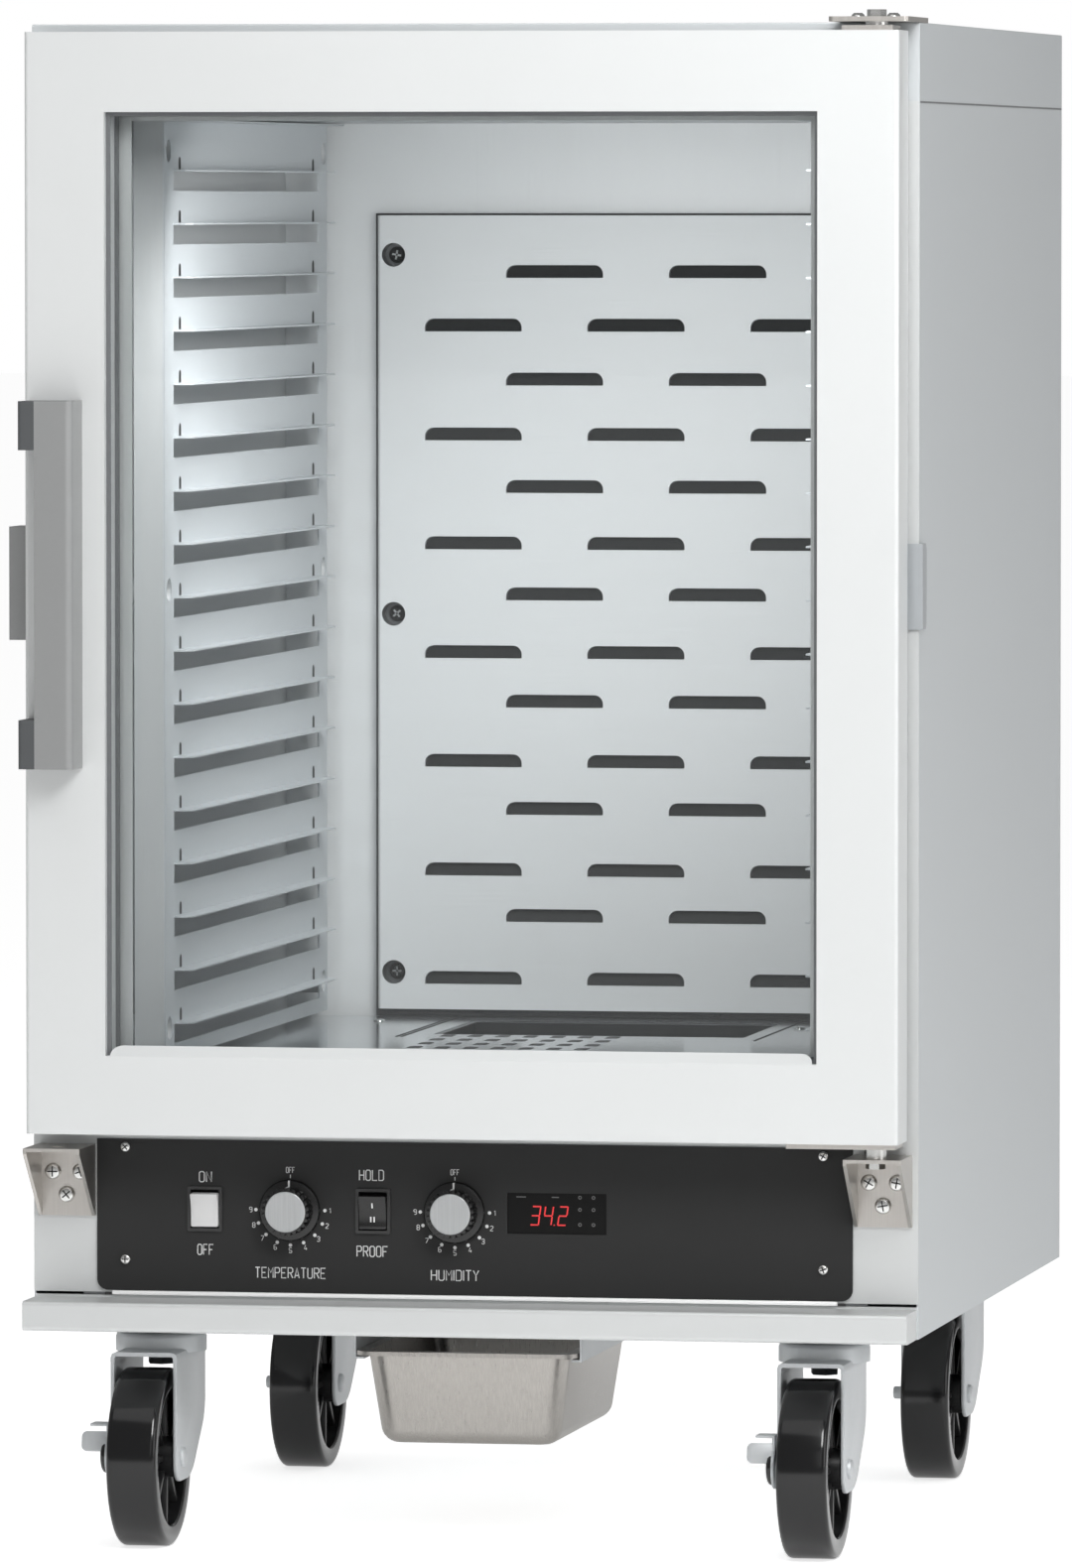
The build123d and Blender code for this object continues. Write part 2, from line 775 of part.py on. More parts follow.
# Drip pan hanging under the base between two rails
pan_middle_y = front_y + pan_front + pan_length / 2
pan_rim_z = pan_top_z - pan_sheet
pan_lip_z = pan_top_z - pan_lip
pan_bottom_z = pan_top_z - pan_body_depth
pan_body_width = pan_width - 2 * pan_rim
pan_body_length = pan_length - 2 * pan_rim
pan_slope = 2 * pan_body_depth * tan(radians(pan_taper))
with BuildPart() as pan_inside:
    with BuildSketch(Plane(origin=(pan_x, pan_middle_y, pan_bottom_z + pan_sheet))):
        inside_width = pan_body_width - pan_slope - 2 * pan_sheet
        inside_length = pan_body_length - pan_slope - 2 * pan_sheet
        RectangleRounded(inside_width, inside_length, pan_corner - pan_sheet)
    extrude(amount=pan_body_depth, taper=-pan_taper)
    fillet(pan_inside.faces().sort_by(Axis.Z)[0].edges(), pan_foot_radius - pan_sheet)

with BuildPart() as drip_pan:
    with BuildSketch(Plane(origin=(pan_x, pan_middle_y, pan_bottom_z))):
        RectangleRounded(pan_body_width - pan_slope, pan_body_length - pan_slope, pan_corner)
    extrude(amount=pan_body_depth, taper=-pan_taper)
    fillet(drip_pan.faces().sort_by(Axis.Z)[0].edges(), pan_foot_radius)
    add(pan_inside.part, mode=Mode.SUBTRACT)
    with BuildSketch(Plane(origin=(pan_x, pan_middle_y, pan_rim_z))):
        RectangleRounded(pan_width, pan_length, pan_corner + pan_rim / 2)
        inner_width = pan_body_width - 2 * pan_sheet
        RectangleRounded(inner_width, pan_body_length - 2 * pan_sheet, pan_corner, mode=Mode.SUBTRACT)
    extrude(amount=pan_sheet)
    with BuildSketch(Plane(origin=(pan_x, pan_middle_y, pan_lip_z))):
        RectangleRounded(pan_width, pan_length, pan_corner + pan_rim / 2)
        inner_corner = pan_corner + pan_rim / 2 - pan_sheet
        inner_size = (pan_width - 2 * pan_sheet, pan_length - 2 * pan_sheet)
        RectangleRounded(*inner_size, inner_corner, mode=Mode.SUBTRACT)
    extrude(amount=pan_lip - pan_sheet)
save(drip_pan.part, "drip_pan")

with BuildPart() as pan_rails:
    rail_y = (front_y + pan_front + rail_setback, front_y + pan_front + rail_setback + rail_length)
    rail_near = pan_width / 2 + rail_side_gap
    rail_far = rail_near + rail_sheet
    lip_z = (pan_lip_z - rail_rest_gap - rail_sheet, pan_lip_z - rail_rest_gap)
    for side in (-1, 1):
        wall_x = sorted((pan_x + side * rail_near, pan_x + side * rail_far))
        lip_x = sorted((pan_x + side * (rail_near - rail_lip), pan_x + side * rail_far))
        flange_x = sorted((pan_x + side * rail_near, pan_x + side * (rail_far + rail_flange)))
        block(wall_x, rail_y, (lip_z[0], base_bottom))
        block(lip_x, rail_y, lip_z)
        block(flange_x, rail_y, (base_bottom - rail_sheet, base_bottom))
save(pan_rails.part, "pan_rails")

# Control panel
panel_screw_places = []
for screw_z in (panel_screw_bottom_z, panel_screw_top_z):
    panel_screw_places += [(-panel_screw_x, screw_z), (panel_screw_x, screw_z)]
with BuildPart() as control_panel:
    with BuildSketch(facing(0, front_y, 0)) as panel_outline:
        with Locations((0, (panel_bottom_z + panel_top_z) / 2)):
            Rectangle(2 * panel_half, panel_top_z - panel_bottom_z)
        fillet(panel_outline.vertices().group_by(Axis.Y)[0], panel_corner)
        for switch_x in (power_switch_x, mode_switch_x):
            with Locations((switch_x, controls_z)):
                Rectangle(switch_width + switch_slack, switch_height + switch_slack, mode=Mode.SUBTRACT)
        for dial_x in (temperature_dial_x, humidity_dial_x):
            with Locations((dial_x, controls_z)):
                Circle(dial_bush_radius + bush_slack, mode=Mode.SUBTRACT)
        with Locations((display_x, controls_z)):
            Rectangle(display_width, display_height, mode=Mode.SUBTRACT)
        with Locations(*panel_screw_places):
            Circle(panel_screw_hole, mode=Mode.SUBTRACT)
    extrude(amount=panel_sheet)
save(control_panel.part, "control_panel")

with BuildPart() as panel_screws:
    with BuildSketch(facing(0, panel_y, 0)):
        with Locations(*panel_screw_places):
            Circle(panel_screw_radius)
    extrude(amount=panel_screw_dome)
    chamfer(panel_screws.edges().group_by(Axis.Y)[0], panel_screw_edge)
    with BuildSketch(facing(0, panel_y, 0)):
        with Locations(*panel_screw_places):
            Circle(panel_screw_shank)
    extrude(amount=-screw_length)
save(panel_screws.part, "panel_screws")

# Rocker switches
bezel_y = panel_y - bezel_proud
rocker_pivot_y = bezel_y + rocker_pivot_depth
with BuildPart() as switch_bodies:
    for switch_x in (power_switch_x, mode_switch_x):
        with BuildSketch(facing(switch_x, panel_y, controls_z)):
            RectangleRounded(bezel_width, bezel_height, bezel_corner)
        extrude(amount=bezel_proud)
        with BuildSketch(facing(switch_x, panel_y, controls_z)):
            Rectangle(switch_width, switch_height)
        extrude(amount=-switch_depth)
        with BuildSketch(facing(switch_x, bezel_y, controls_z)):
            Rectangle(recess_width, recess_height)
        extrude(amount=-recess_depth, mode=Mode.SUBTRACT)
        pivot_half = rocker_width / 2 + rocker_pivot_reach + running_gap
        with BuildSketch(sideways(switch_x - pivot_half, rocker_pivot_y, controls_z)):
            Circle(rocker_pivot_radius + running_gap)
        extrude(amount=2 * pivot_half, mode=Mode.SUBTRACT)
save(switch_bodies.part, "switch_bodies")

for name, switch_x in (("power_rocker", power_switch_x), ("mode_rocker", mode_switch_x)):
    with BuildPart() as rocker:
        rest_plane = sideways(switch_x - rocker_width / 2, rocker_pivot_y, controls_z)
        with BuildSketch(rest_plane.rotated((rocker_tilt, 0, 0))):
            with BuildLine():
                tip_y = -rocker_proud - rocker_pivot_depth
                hollow_y = tip_y + rocker_hollow
                half = rocker_height / 2
                back_half = rocker_back_height / 2
                core_half = rocker_core_height / 2
                right_side = [(tip_y, half), (rocker_shoulder, back_half), (rocker_core_depth, core_half)]
                left_side = [(y, -z) for y, z in reversed(right_side)]
                Polyline(*right_side, *left_side, (hollow_y, 0), close=True)
            make_face()
        extrude(amount=rocker_width)
        pivot_half = rocker_width / 2 + rocker_pivot_reach
        with BuildSketch(sideways(switch_x - pivot_half, rocker_pivot_y, controls_z)):
            Circle(rocker_pivot_radius)
        extrude(amount=2 * pivot_half)
    save(rocker.part, name)

# Dials
for name, dial_x in (("temperature_knob", temperature_dial_x), ("humidity_knob", humidity_dial_x)):
    with BuildPart() as knob:
        knob_back_y = panel_y - knob_gap
        with BuildSketch(facing(dial_x, knob_back_y, controls_z)):
            Circle(knob_radius)
        extrude(amount=knob_skirt)
        chamfer(knob.edges().group_by(Axis.Y)[0], knob_skirt_edge)
        with BuildSketch(facing(dial_x, knob_back_y, controls_z)):
            Circle(knob_body_radius)
            with PolarLocations(knob_body_radius, knob_flutes):
                Circle(flute_radius, mode=Mode.SUBTRACT)
        extrude(amount=knob_height - knob_cap_step - knob_gap)
        with BuildSketch(facing(dial_x, knob_back_y, controls_z)):
            Circle(knob_cap_radius)
        extrude(amount=knob_height - knob_gap)
        with BuildSketch(facing(dial_x, knob_back_y, controls_z)):
            Circle(shaft_radius)
        extrude(amount=-shaft_length)
    save(knob.part, name)

with BuildPart() as dial_controls:
    for dial_x in (temperature_dial_x, humidity_dial_x):
        block(about(dial_x, dial_body), (front_y, front_y + dial_body_depth), about(controls_z, dial_body))
        with BuildSketch(facing(dial_x, front_y, controls_z)):
            Circle(dial_bush_radius)
        extrude(amount=panel_sheet)
        with BuildSketch(facing(dial_x, panel_y, controls_z)):
            Circle(shaft_radius + running_gap)
        extrude(amount=-shaft_length, mode=Mode.SUBTRACT)
save(dial_controls.part, "dial_controls")

with BuildPart() as display_module:
    with BuildSketch(facing(display_x, front_y, controls_z)):
        Rectangle(display_width + 2 * display_border, display_height + 2 * display_border)
    extrude(amount=-display_flange)
    with BuildSketch(facing(display_x, front_y, controls_z)):
        Rectangle(display_width, display_height)
    extrude(amount=-display_depth)
save(display_module.part, "display_module")

# Power inlet, flush with the back
with BuildPart() as power_inlet:
    with BuildSketch(facing(inlet_x, back_y, inlet_z)):
        Rectangle(inlet_width, inlet_height)
    extrude(amount=inlet_depth)
    with BuildSketch(facing(inlet_x, back_y - skin, inlet_z)):
        Rectangle(inlet_width + 2 * inlet_border, inlet_height + 2 * inlet_border)
    extrude(amount=inlet_flange)
    with BuildSketch(facing(inlet_x, back_y, inlet_z)):
        RectangleRounded(socket_width, socket_height, bezel_corner)
    extrude(amount=socket_depth, mode=Mode.SUBTRACT)
    with BuildSketch(facing(inlet_x, back_y - socket_depth, inlet_z)):
        with GridLocations(contact_spacing, 1, 3, 1):
            Rectangle(contact_width, contact_height)
    extrude(amount=-contact_length)
save(power_inlet.part, "power_inlet")

# Door: the shell makes the front and the four edges, and the back closes it and lines the window
sill_half = window_half - sill_inset
with BuildPart() as door_shell:
    block((-door_half, door_half), (door_front_y, door_back_y), (door_bottom, door_top))
    fillet(door_shell.edges().filter_by(Axis.Z).group_by(Axis.Y)[0], door_edge_radius)
    inner_x = (skin - door_half, door_half - skin)
    inner_y = (door_front_y + skin, door_back_y)
    block(inner_x, inner_y, (door_bottom + skin, door_top - skin), Mode.SUBTRACT)
    cut_y = (door_front_y, door_front_y + skin)
    block((-window_half, window_half), cut_y, (window_bottom, window_top), Mode.SUBTRACT)
    with BuildSketch(Plane.XY.offset(door_bottom)):
        with Locations((pivot_x, pivot_y)):
            Circle(pivot_radius + running_gap)
    extrude(amount=door_top - door_bottom, mode=Mode.SUBTRACT)
    sill_foot = (0, door_front_y, window_bottom)
    sill_plane = Plane(origin=sill_foot, x_dir=(1, 0, 0), z_dir=(0, -1, 0)).rotated((-sill_lean, 0, 0))
    with BuildSketch(sill_plane) as sill:
        with Locations((0, sill_height / 2)):
            Rectangle(2 * sill_half, sill_height)
        fillet(sill.vertices().group_by(Axis.Y)[-1], sill_corner)
    extrude(amount=-skin)
    sill_foot_y = (door_front_y + skin, front_pane_y)
    block((-sill_half, sill_half), sill_foot_y, (window_bottom - skin, window_bottom), Mode.SUBTRACT)
save(door_shell.part, "door_shell")

with BuildPart() as door_back:
    back_x = (skin - door_half, door_half - skin)
    block(back_x, (door_back_y - skin, door_back_y), (door_bottom + skin, door_top - skin))
    reveal_x = (-window_half - skin, window_half + skin)
    reveal_y = (door_front_y + skin, door_back_y - skin)
    block(reveal_x, reveal_y, (window_bottom - skin, window_top + skin))
    block((-window_half, window_half), reveal_y, (window_bottom, window_top), Mode.SUBTRACT)
    lip_x = (lip_side - window_half, window_half - lip_side)
    lip_z = (window_bottom + lip_bottom, window_top - lip_top)
    block(lip_x, (door_back_y - skin, door_back_y), lip_z, Mode.SUBTRACT)
save(door_back.part, "door_back")

pane_x = (pane_slack - window_half, window_half - pane_slack)
pane_z = (window_bottom + pane_slack, window_top - pane_slack)
with BuildPart() as door_glass:
    block(pane_x, (front_pane_y, front_pane_y + pane), pane_z)
    block(pane_x, (rear_pane_y, rear_pane_y + pane), pane_z)
save(door_glass.part, "door_glass")

with BuildPart() as window_seals:
    for seal_y in (front_pane_y, rear_pane_y):
        seal_limits = (seal_y - seal_depth, seal_y)
        block((-window_half, window_half), seal_limits, (window_bottom, window_top))
        inner_x = (seal_width - window_half, window_half - seal_width)
        inner_z = (window_bottom + seal_width, window_top - seal_width)
        block(inner_x, seal_limits, inner_z, Mode.SUBTRACT)
save(window_seals.part, "window_seals")

with BuildPart() as door_gasket:
    outer_half = door_half - gasket_side_inset
    inner_half_gap = outer_half - gasket_width
    gasket_y = (door_back_y, front_y - gasket_clearance)
    outer_z = (door_bottom + gasket_end_inset, door_top - gasket_end_inset)
    inner_z = (outer_z[0] + gasket_width, outer_z[1] - gasket_width)
    block((-outer_half, outer_half), gasket_y, outer_z)
    block((-inner_half_gap, inner_half_gap), gasket_y, inner_z, Mode.SUBTRACT)
save(door_gasket.part, "door_gasket")

# Handle: a channel open to the left, with a block filling each end
handle_left = handle_inset - door_half
handle_right = handle_left + handle_width
handle_front_y = door_front_y - handle_standoff
handle_z = about(door_middle_z, handle_height)
with BuildPart() as handle_bar:
    block((handle_left, handle_right), (handle_front_y, door_front_y), handle_z)
    front_corner = handle_bar.edges().filter_by(Axis.Z).group_by(Axis.Y)[0].sort_by(Axis.X)[-1]
    fillet(front_corner, handle_radius)
    inner_y = (handle_front_y + handle_sheet, door_front_y)
    block((handle_left, handle_right - handle_sheet), inner_y, handle_z, Mode.SUBTRACT)
    inner_corner = handle_bar.edges().filter_by(Axis.Z)
    inner_corner = inner_corner.filter_by(lambda edge: abs(edge.center().Y - inner_y[0]) < 0.1)
    fillet(inner_corner.sort_by(Axis.X)[-1], handle_radius - handle_sheet)
save(handle_bar.part, "handle_bar")

with BuildPart() as handle_end_caps:
    fill_x = (handle_left, handle_right - 2 * handle_sheet)
    fill_y = (handle_front_y + handle_sheet, door_front_y)
    overhang_x = (handle_left - end_cap_overhang, handle_left)
    for cap_z in ((handle_z[0], handle_z[0] + end_cap_height), (handle_z[1] - end_cap_height, handle_z[1])):
        block(fill_x, fill_y, cap_z)
        block(overhang_x, (handle_front_y, door_front_y), cap_z)
    outer_edges = handle_end_caps.edges().filter_by(Axis.Z).group_by(Axis.X)[0]
    fillet(outer_edges.group_by(Axis.Y)[0], end_cap_radius)
save(handle_end_caps.part, "handle_end_caps")

strike_front_y = front_y - strike_sheet
with BuildPart() as magnet_block:
    magnet_y = (strike_front_y - catch_gap - magnet_depth, strike_front_y - catch_gap)
    magnet_x = (-door_half - magnet_width, -door_half)
    block(magnet_x, magnet_y, about(door_middle_z, magnet_height))
    fillet(magnet_block.edges().filter_by(Axis.Z).group_by(Axis.X)[0], magnet_radius)
save(magnet_block.part, "magnet_block")

with BuildPart() as strike_plates:
    strike_out_x = half_width + strike_sheet
    strike_z = about(door_middle_z, strike_height)
    for side in (-1, 1):
        leg_x = on_side(side, strike_out_x - strike_leg, strike_out_x)
        block(leg_x, (strike_front_y, front_y), strike_z)
        side_leg_x = on_side(side, half_width, strike_out_x)
        block(side_leg_x, (strike_front_y, strike_front_y + strike_side_leg), strike_z)
    rear_corners = strike_plates.edges().filter_by(Axis.X).group_by(Axis.Y)[-1]
    chamfer(rear_corners, strike_chamfer)
save(strike_plates.part, "strike_plates")

# Hinges
with BuildPart() as top_hinge_plate:
    with BuildSketch(Plane.XY.offset(cabinet_top)):
        plate_length = top_plate_front + top_plate_back
        with Locations((half_width - top_plate_width / 2, front_y + (top_plate_back - top_plate_front) / 2)):
            RectangleRounded(top_plate_width, plate_length, plate_corner)
        with Locations((pivot_x, pivot_y)):
            Circle(pivot_radius, mode=Mode.SUBTRACT)
        with Locations((top_screw_x, front_y + top_screw_y)):
            with GridLocations(2 * top_screw_spread, 1, 2, 1):
                Circle(screw_hole, mode=Mode.SUBTRACT)
    extrude(amount=top_plate)
save(top_hinge_plate.part, "top_hinge_plate")

with BuildPart() as door_hinge_plates:
    leaf_y = (door_front_y + leaf_setback, door_front_y + leaf_setback + leaf_depth)
    leaf_x = about(pivot_x - leaf_offset, leaf_width)
    block(leaf_x, leaf_y, (door_top, door_top + leaf))
    strap_x = (pivot_x + strap_overhang - strap_length, pivot_x + strap_overhang)
    block(strap_x, leaf_y, (door_bottom - leaf, door_bottom))
    with BuildSketch(Plane.XY.offset(door_bottom - leaf)):
        with Locations((pivot_x, pivot_y)):
            Circle(pivot_radius + running_gap)
    extrude(amount=door_top - door_bottom + 2 * leaf, mode=Mode.SUBTRACT)
save(door_hinge_plates.part, "door_hinge_plates")

with BuildPart() as hinge_pins:
    with BuildSketch(Plane(origin=(pivot_x, pivot_y, cabinet_top + top_plate))):
        RegularPolygon(bolt_across / 2, 6, major_radius=False)
    extrude(amount=bolt_head)
    upper_pin_z = (door_top - pivot_reach, cabinet_top + top_plate)
    lower_pin_z = (bracket_top_z - bracket_sheet - bolt_head, door_bottom + pivot_reach)
    for low_z, high_z in (upper_pin_z, lower_pin_z):
        with BuildSketch(Plane(origin=(pivot_x, pivot_y, low_z))):
            Circle(pivot_radius)
        extrude(amount=high_z - low_z)
    upper_bush_z = (door_top + leaf + bush_gap, cabinet_top)
    lower_bush_z = (bracket_top_z, door_bottom - leaf - bush_gap)
    for low_z, high_z in (upper_bush_z, lower_bush_z):
        with BuildSketch(Plane(origin=(pivot_x, pivot_y, low_z))):
            Circle(bush_radius)
        extrude(amount=high_z - low_z)
    with BuildSketch(Plane(origin=(pivot_x, pivot_y, bracket_top_z - bracket_sheet - bolt_head))):
        RegularPolygon(bolt_across / 2, 6, major_radius=False)
    extrude(amount=bolt_head)
save(hinge_pins.part, "hinge_pins")

bracket_screw_places = []
for side in (-1, 1):
    bracket_screw_places.append((side * bracket_x - bracket_screw_spread, bracket_screw_z))
    bracket_screw_places.append((side * bracket_x + bracket_screw_spread, bracket_screw_z))
    bracket_screw_places.append((side * bracket_x, bracket_screw_z - bracket_screw_drop))
with BuildPart() as hinge_brackets:
    shelf_z = (bracket_top_z - bracket_sheet, bracket_top_z)
    for side in (-1, 1):
        bracket_limits = about(side * bracket_x, bracket_width)
        block(bracket_limits, (front_y - bracket_sheet, front_y), (bracket_bottom_z, bracket_top_z))
        block(bracket_limits, (front_y - bracket_depth, front_y), shelf_z)
        for gusset_x in (bracket_limits[0], bracket_limits[1] - bracket_sheet):
            with BuildSketch(sideways(gusset_x, front_y, 0)):
                with BuildLine():
                    Polyline((0, bracket_bottom_z), (0, bracket_top_z), (-bracket_depth, bracket_top_z),
                             (-bracket_depth, bracket_top_z - bracket_foot),
                             (-bracket_sheet, bracket_bottom_z), close=True)
                make_face()
            extrude(amount=bracket_sheet)
        with BuildSketch(Plane.XY.offset(shelf_z[0])):
            with Locations((side * pivot_x, pivot_y)):
                Circle(pivot_radius)
        extrude(amount=bracket_sheet, mode=Mode.SUBTRACT)
    with BuildSketch(facing(0, front_y, 0)):
        with Locations(*bracket_screw_places):
            Circle(screw_hole)
    extrude(amount=bracket_sheet, mode=Mode.SUBTRACT)
save(hinge_brackets.part, "hinge_brackets")

with BuildPart() as hinge_screws:
    with BuildSketch(facing(0, front_y - bracket_sheet, 0)):
        with Locations(*bracket_screw_places):
            Circle(screw_radius)
    extrude(amount=screw_dome)
    chamfer(hinge_screws.edges().group_by(Axis.Y)[0], screw_edge)
    with BuildSketch(facing(0, front_y - bracket_sheet, 0)):
        with Locations(*bracket_screw_places):
            Circle(screw_shank)
    extrude(amount=-screw_length)
    with BuildSketch(Plane.XY.offset(cabinet_top + top_plate)):
        with Locations((top_screw_x, front_y + top_screw_y)):
            with GridLocations(2 * top_screw_spread, 1, 2, 1):
                Circle(top_screw_radius)
    extrude(amount=screw_dome)
    chamfer(hinge_screws.edges().group_by(Axis.Z)[-1], screw_edge)
    with BuildSketch(Plane.XY.offset(cabinet_top + top_plate)):
        with Locations((top_screw_x, front_y + top_screw_y)):
            with GridLocations(2 * top_screw_spread, 1, 2, 1):
                Circle(screw_shank)
    extrude(amount=-top_plate - skin)
save(hinge_screws.part, "hinge_screws")

# Casters
caster_x = half_width - caster_inset
caster_places = {
    "front_left": (-caster_x, front_y + caster_front),
    "front_right": (caster_x, front_y + caster_front),
    "rear_left": (-caster_x, back_y - caster_rear),
    "rear_right": (caster_x, back_y - caster_rear),
}
crown_top_z = fork_top_z + crown_rise
fork_under_z = fork_top_z - fork_sheet
plate_z = base_bottom - caster_plate
with BuildPart() as caster_plates:
    for kingpin_x, kingpin_y in caster_places.values():
        with BuildSketch(Plane(origin=(kingpin_x, kingpin_y, plate_z))):
            RectangleRounded(caster_plate_width, caster_plate_length, caster_plate_corner)
        extrude(amount=caster_plate)
        with BuildSketch(Plane(origin=(kingpin_x, kingpin_y, crown_top_z + race_gap))):
            Circle(race_radius)
        extrude(amount=plate_z - crown_top_z - race_gap)
        nut_top_z = fork_under_z - nut_gap
        with BuildSketch(Plane(origin=(kingpin_x, kingpin_y, nut_top_z - nut_height))):
            RegularPolygon(nut_radius, 6)
        extrude(amount=nut_height)
        with BuildSketch(Plane(origin=(kingpin_x, kingpin_y, nut_top_z))):
            Circle(kingpin_radius)
        extrude(amount=plate_z - nut_top_z)
save(caster_plates.part, "caster_plates")

leg_half = fork_gap / 2
leg_outer = leg_half + fork_sheet
for corner, (kingpin_x, kingpin_y) in caster_places.items():
    axle_y = kingpin_y - caster_trail
    with BuildPart() as fork:
        for leg_x in (-leg_outer, leg_half):
            with BuildSketch(sideways(kingpin_x + leg_x, kingpin_y, 0)) as leg_outline:
                leg_front = -caster_trail - fork_boss
                leg_foot = wheel_radius - fork_boss
                with BuildLine():
                    Polyline((leg_front, fork_top_z), (leg_front, leg_foot),
                             (leg_front + fork_heel + fork_boss / 2, leg_foot),
                             (fork_back, fork_shoulder_z), (fork_back, fork_top_z), close=True)
                make_face()
                low_corners = leg_outline.vertices().group_by(Axis.Y)[0].sort_by(Axis.X)
                fillet(low_corners[0], fork_boss)
                low_corners = leg_outline.vertices().group_by(Axis.Y)[0].sort_by(Axis.X)
                fillet(low_corners[-1], fork_boss)
                shoulder = leg_outline.vertices().group_by(Axis.X)[-1].sort_by(Axis.Y)[0]
                fillet(shoulder, fork_back_radius)
            extrude(amount=fork_sheet)
        bridge_x = (kingpin_x - leg_outer, kingpin_x + leg_outer)
        bridge_y = (kingpin_y - caster_trail - fork_boss, kingpin_y + fork_back)
        block(bridge_x, bridge_y, (fork_under_z, fork_top_z))
        fillet(fork.edges().filter_by(Axis.Y).group_by(Axis.Z)[-1], fork_corner)
        with BuildSketch(Plane(origin=(kingpin_x, kingpin_y, fork_under_z))):
            Circle(crown_radius)
        extrude(amount=crown_top_z - fork_under_z)
        chamfer(fork.edges().group_by(Axis.Z)[-1], crown_edge)
        with BuildSketch(Plane(origin=(kingpin_x, kingpin_y, fork_under_z))):
            Circle(kingpin_radius + running_gap)
        extrude(amount=crown_top_z - fork_under_z, mode=Mode.SUBTRACT)
        with BuildSketch(sideways(kingpin_x - leg_half, axle_y, wheel_radius)):
            Circle(axle_radius)
        extrude(amount=fork_gap)
        with BuildSketch(sideways(kingpin_x + leg_outer, axle_y, wheel_radius)):
            Circle(axle_head_radius)
        extrude(amount=axle_head)
        with BuildSketch(sideways(kingpin_x - leg_outer - axle_tail, axle_y, wheel_radius)):
            Circle(axle_tail_radius)
        extrude(amount=axle_tail)
    save(fork.part, f"fork_{corner}")

    with BuildPart() as wheel:
        with BuildSketch(facing(kingpin_x, axle_y, wheel_radius)) as half_section:
            with BuildLine():
                right_side = [(wheel_width / 2, wheel_radius), (wheel_width / 2, rim_radius),
                              (web / 2, rim_radius), (web / 2, hub_radius),
                              (hub_width / 2, hub_radius), (hub_width / 2, axle_radius + running_gap)]
                left_side = [(-x, r) for x, r in reversed(right_side)]
                Polyline(*right_side, *left_side, close=True)
            make_face()
            chamfer(half_section.vertices().group_by(Axis.Y)[-1], tread_edge)
        revolve(axis=Axis((kingpin_x, axle_y, wheel_radius), (1, 0, 0)))
        with BuildSketch(sideways(kingpin_x - spoke_width / 2, axle_y, wheel_radius)):
            spoke_length = rim_radius - hub_radius + 2 * spoke_bite
            with PolarLocations((rim_radius + hub_radius) / 2, spoke_count):
                Rectangle(spoke_length, spoke_sheet)
        extrude(amount=spoke_width)
    save(wheel.part, f"wheel_{corner}")

# Brake pedals on the left of the front wheels
for side, name in ((-1, "brake_pedal_left"), (1, "brake_pedal_right")):
    kingpin_x = side * caster_x
    axle_y = front_y + caster_front - caster_trail
    plate_x = kingpin_x - leg_outer - pedal_gap
    pedal_y = about(axle_y, pedal_width)
    with BuildPart() as brake_pedal:
        with BuildSketch(sideways(plate_x, axle_y, wheel_radius)):
            Circle(pedal_dome_radius)
        extrude(amount=-pedal_sheet - pedal_dome)
        chamfer(brake_pedal.edges().group_by(Axis.X)[0], pedal_dome_edge)
        with BuildSketch(sideways(plate_x, axle_y, wheel_radius)):
            Circle(pedal_radius)
            with Locations((0, pedal_height / 2)):
                Rectangle(pedal_width, pedal_height)
        extrude(amount=-pedal_sheet)
        upper_z = (wheel_radius + pedal_height - pedal_sheet, wheel_radius + pedal_height)
        block((plate_x - pedal_upper_reach, plate_x), pedal_y, upper_z)
        tab_foot = (plate_x, pedal_y[0], wheel_radius + pedal_lower_rise)
        tab_plane = Plane(origin=tab_foot, x_dir=(1, 0, 0), z_dir=(0, -1, 0))
        with BuildSketch(tab_plane.rotated((-pedal_lower_lean, 0, 0))) as tab_outline:
            with Locations((-pedal_lower_reach / 2, pedal_lower_height / 2)):
                Rectangle(pedal_lower_reach, pedal_lower_height)
            fillet(tab_outline.vertices().group_by(Axis.X)[0], pedal_lower_corner)
        extrude(amount=-pedal_sheet)
        bore_depth = axle_tail - pedal_gap + pedal_end_gap
        with BuildSketch(sideways(plate_x, axle_y, wheel_radius)):
            Circle(axle_tail_radius + running_gap)
        extrude(amount=-bore_depth, mode=Mode.SUBTRACT)
    save(brake_pedal.part, name)
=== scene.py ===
"""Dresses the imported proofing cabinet.

The sheet metal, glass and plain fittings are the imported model's own pieces under procedural
finishes. Casters, knobs, rockers, drip pan, screws and printed words are modelled here.
Lengths are worked out in millimetres and placed in metres.
"""

import json
import logging
import math
from dataclasses import dataclass, field
from enum import Enum
from typing import Any

import bmesh
import bpy
from mathutils import Matrix, Vector


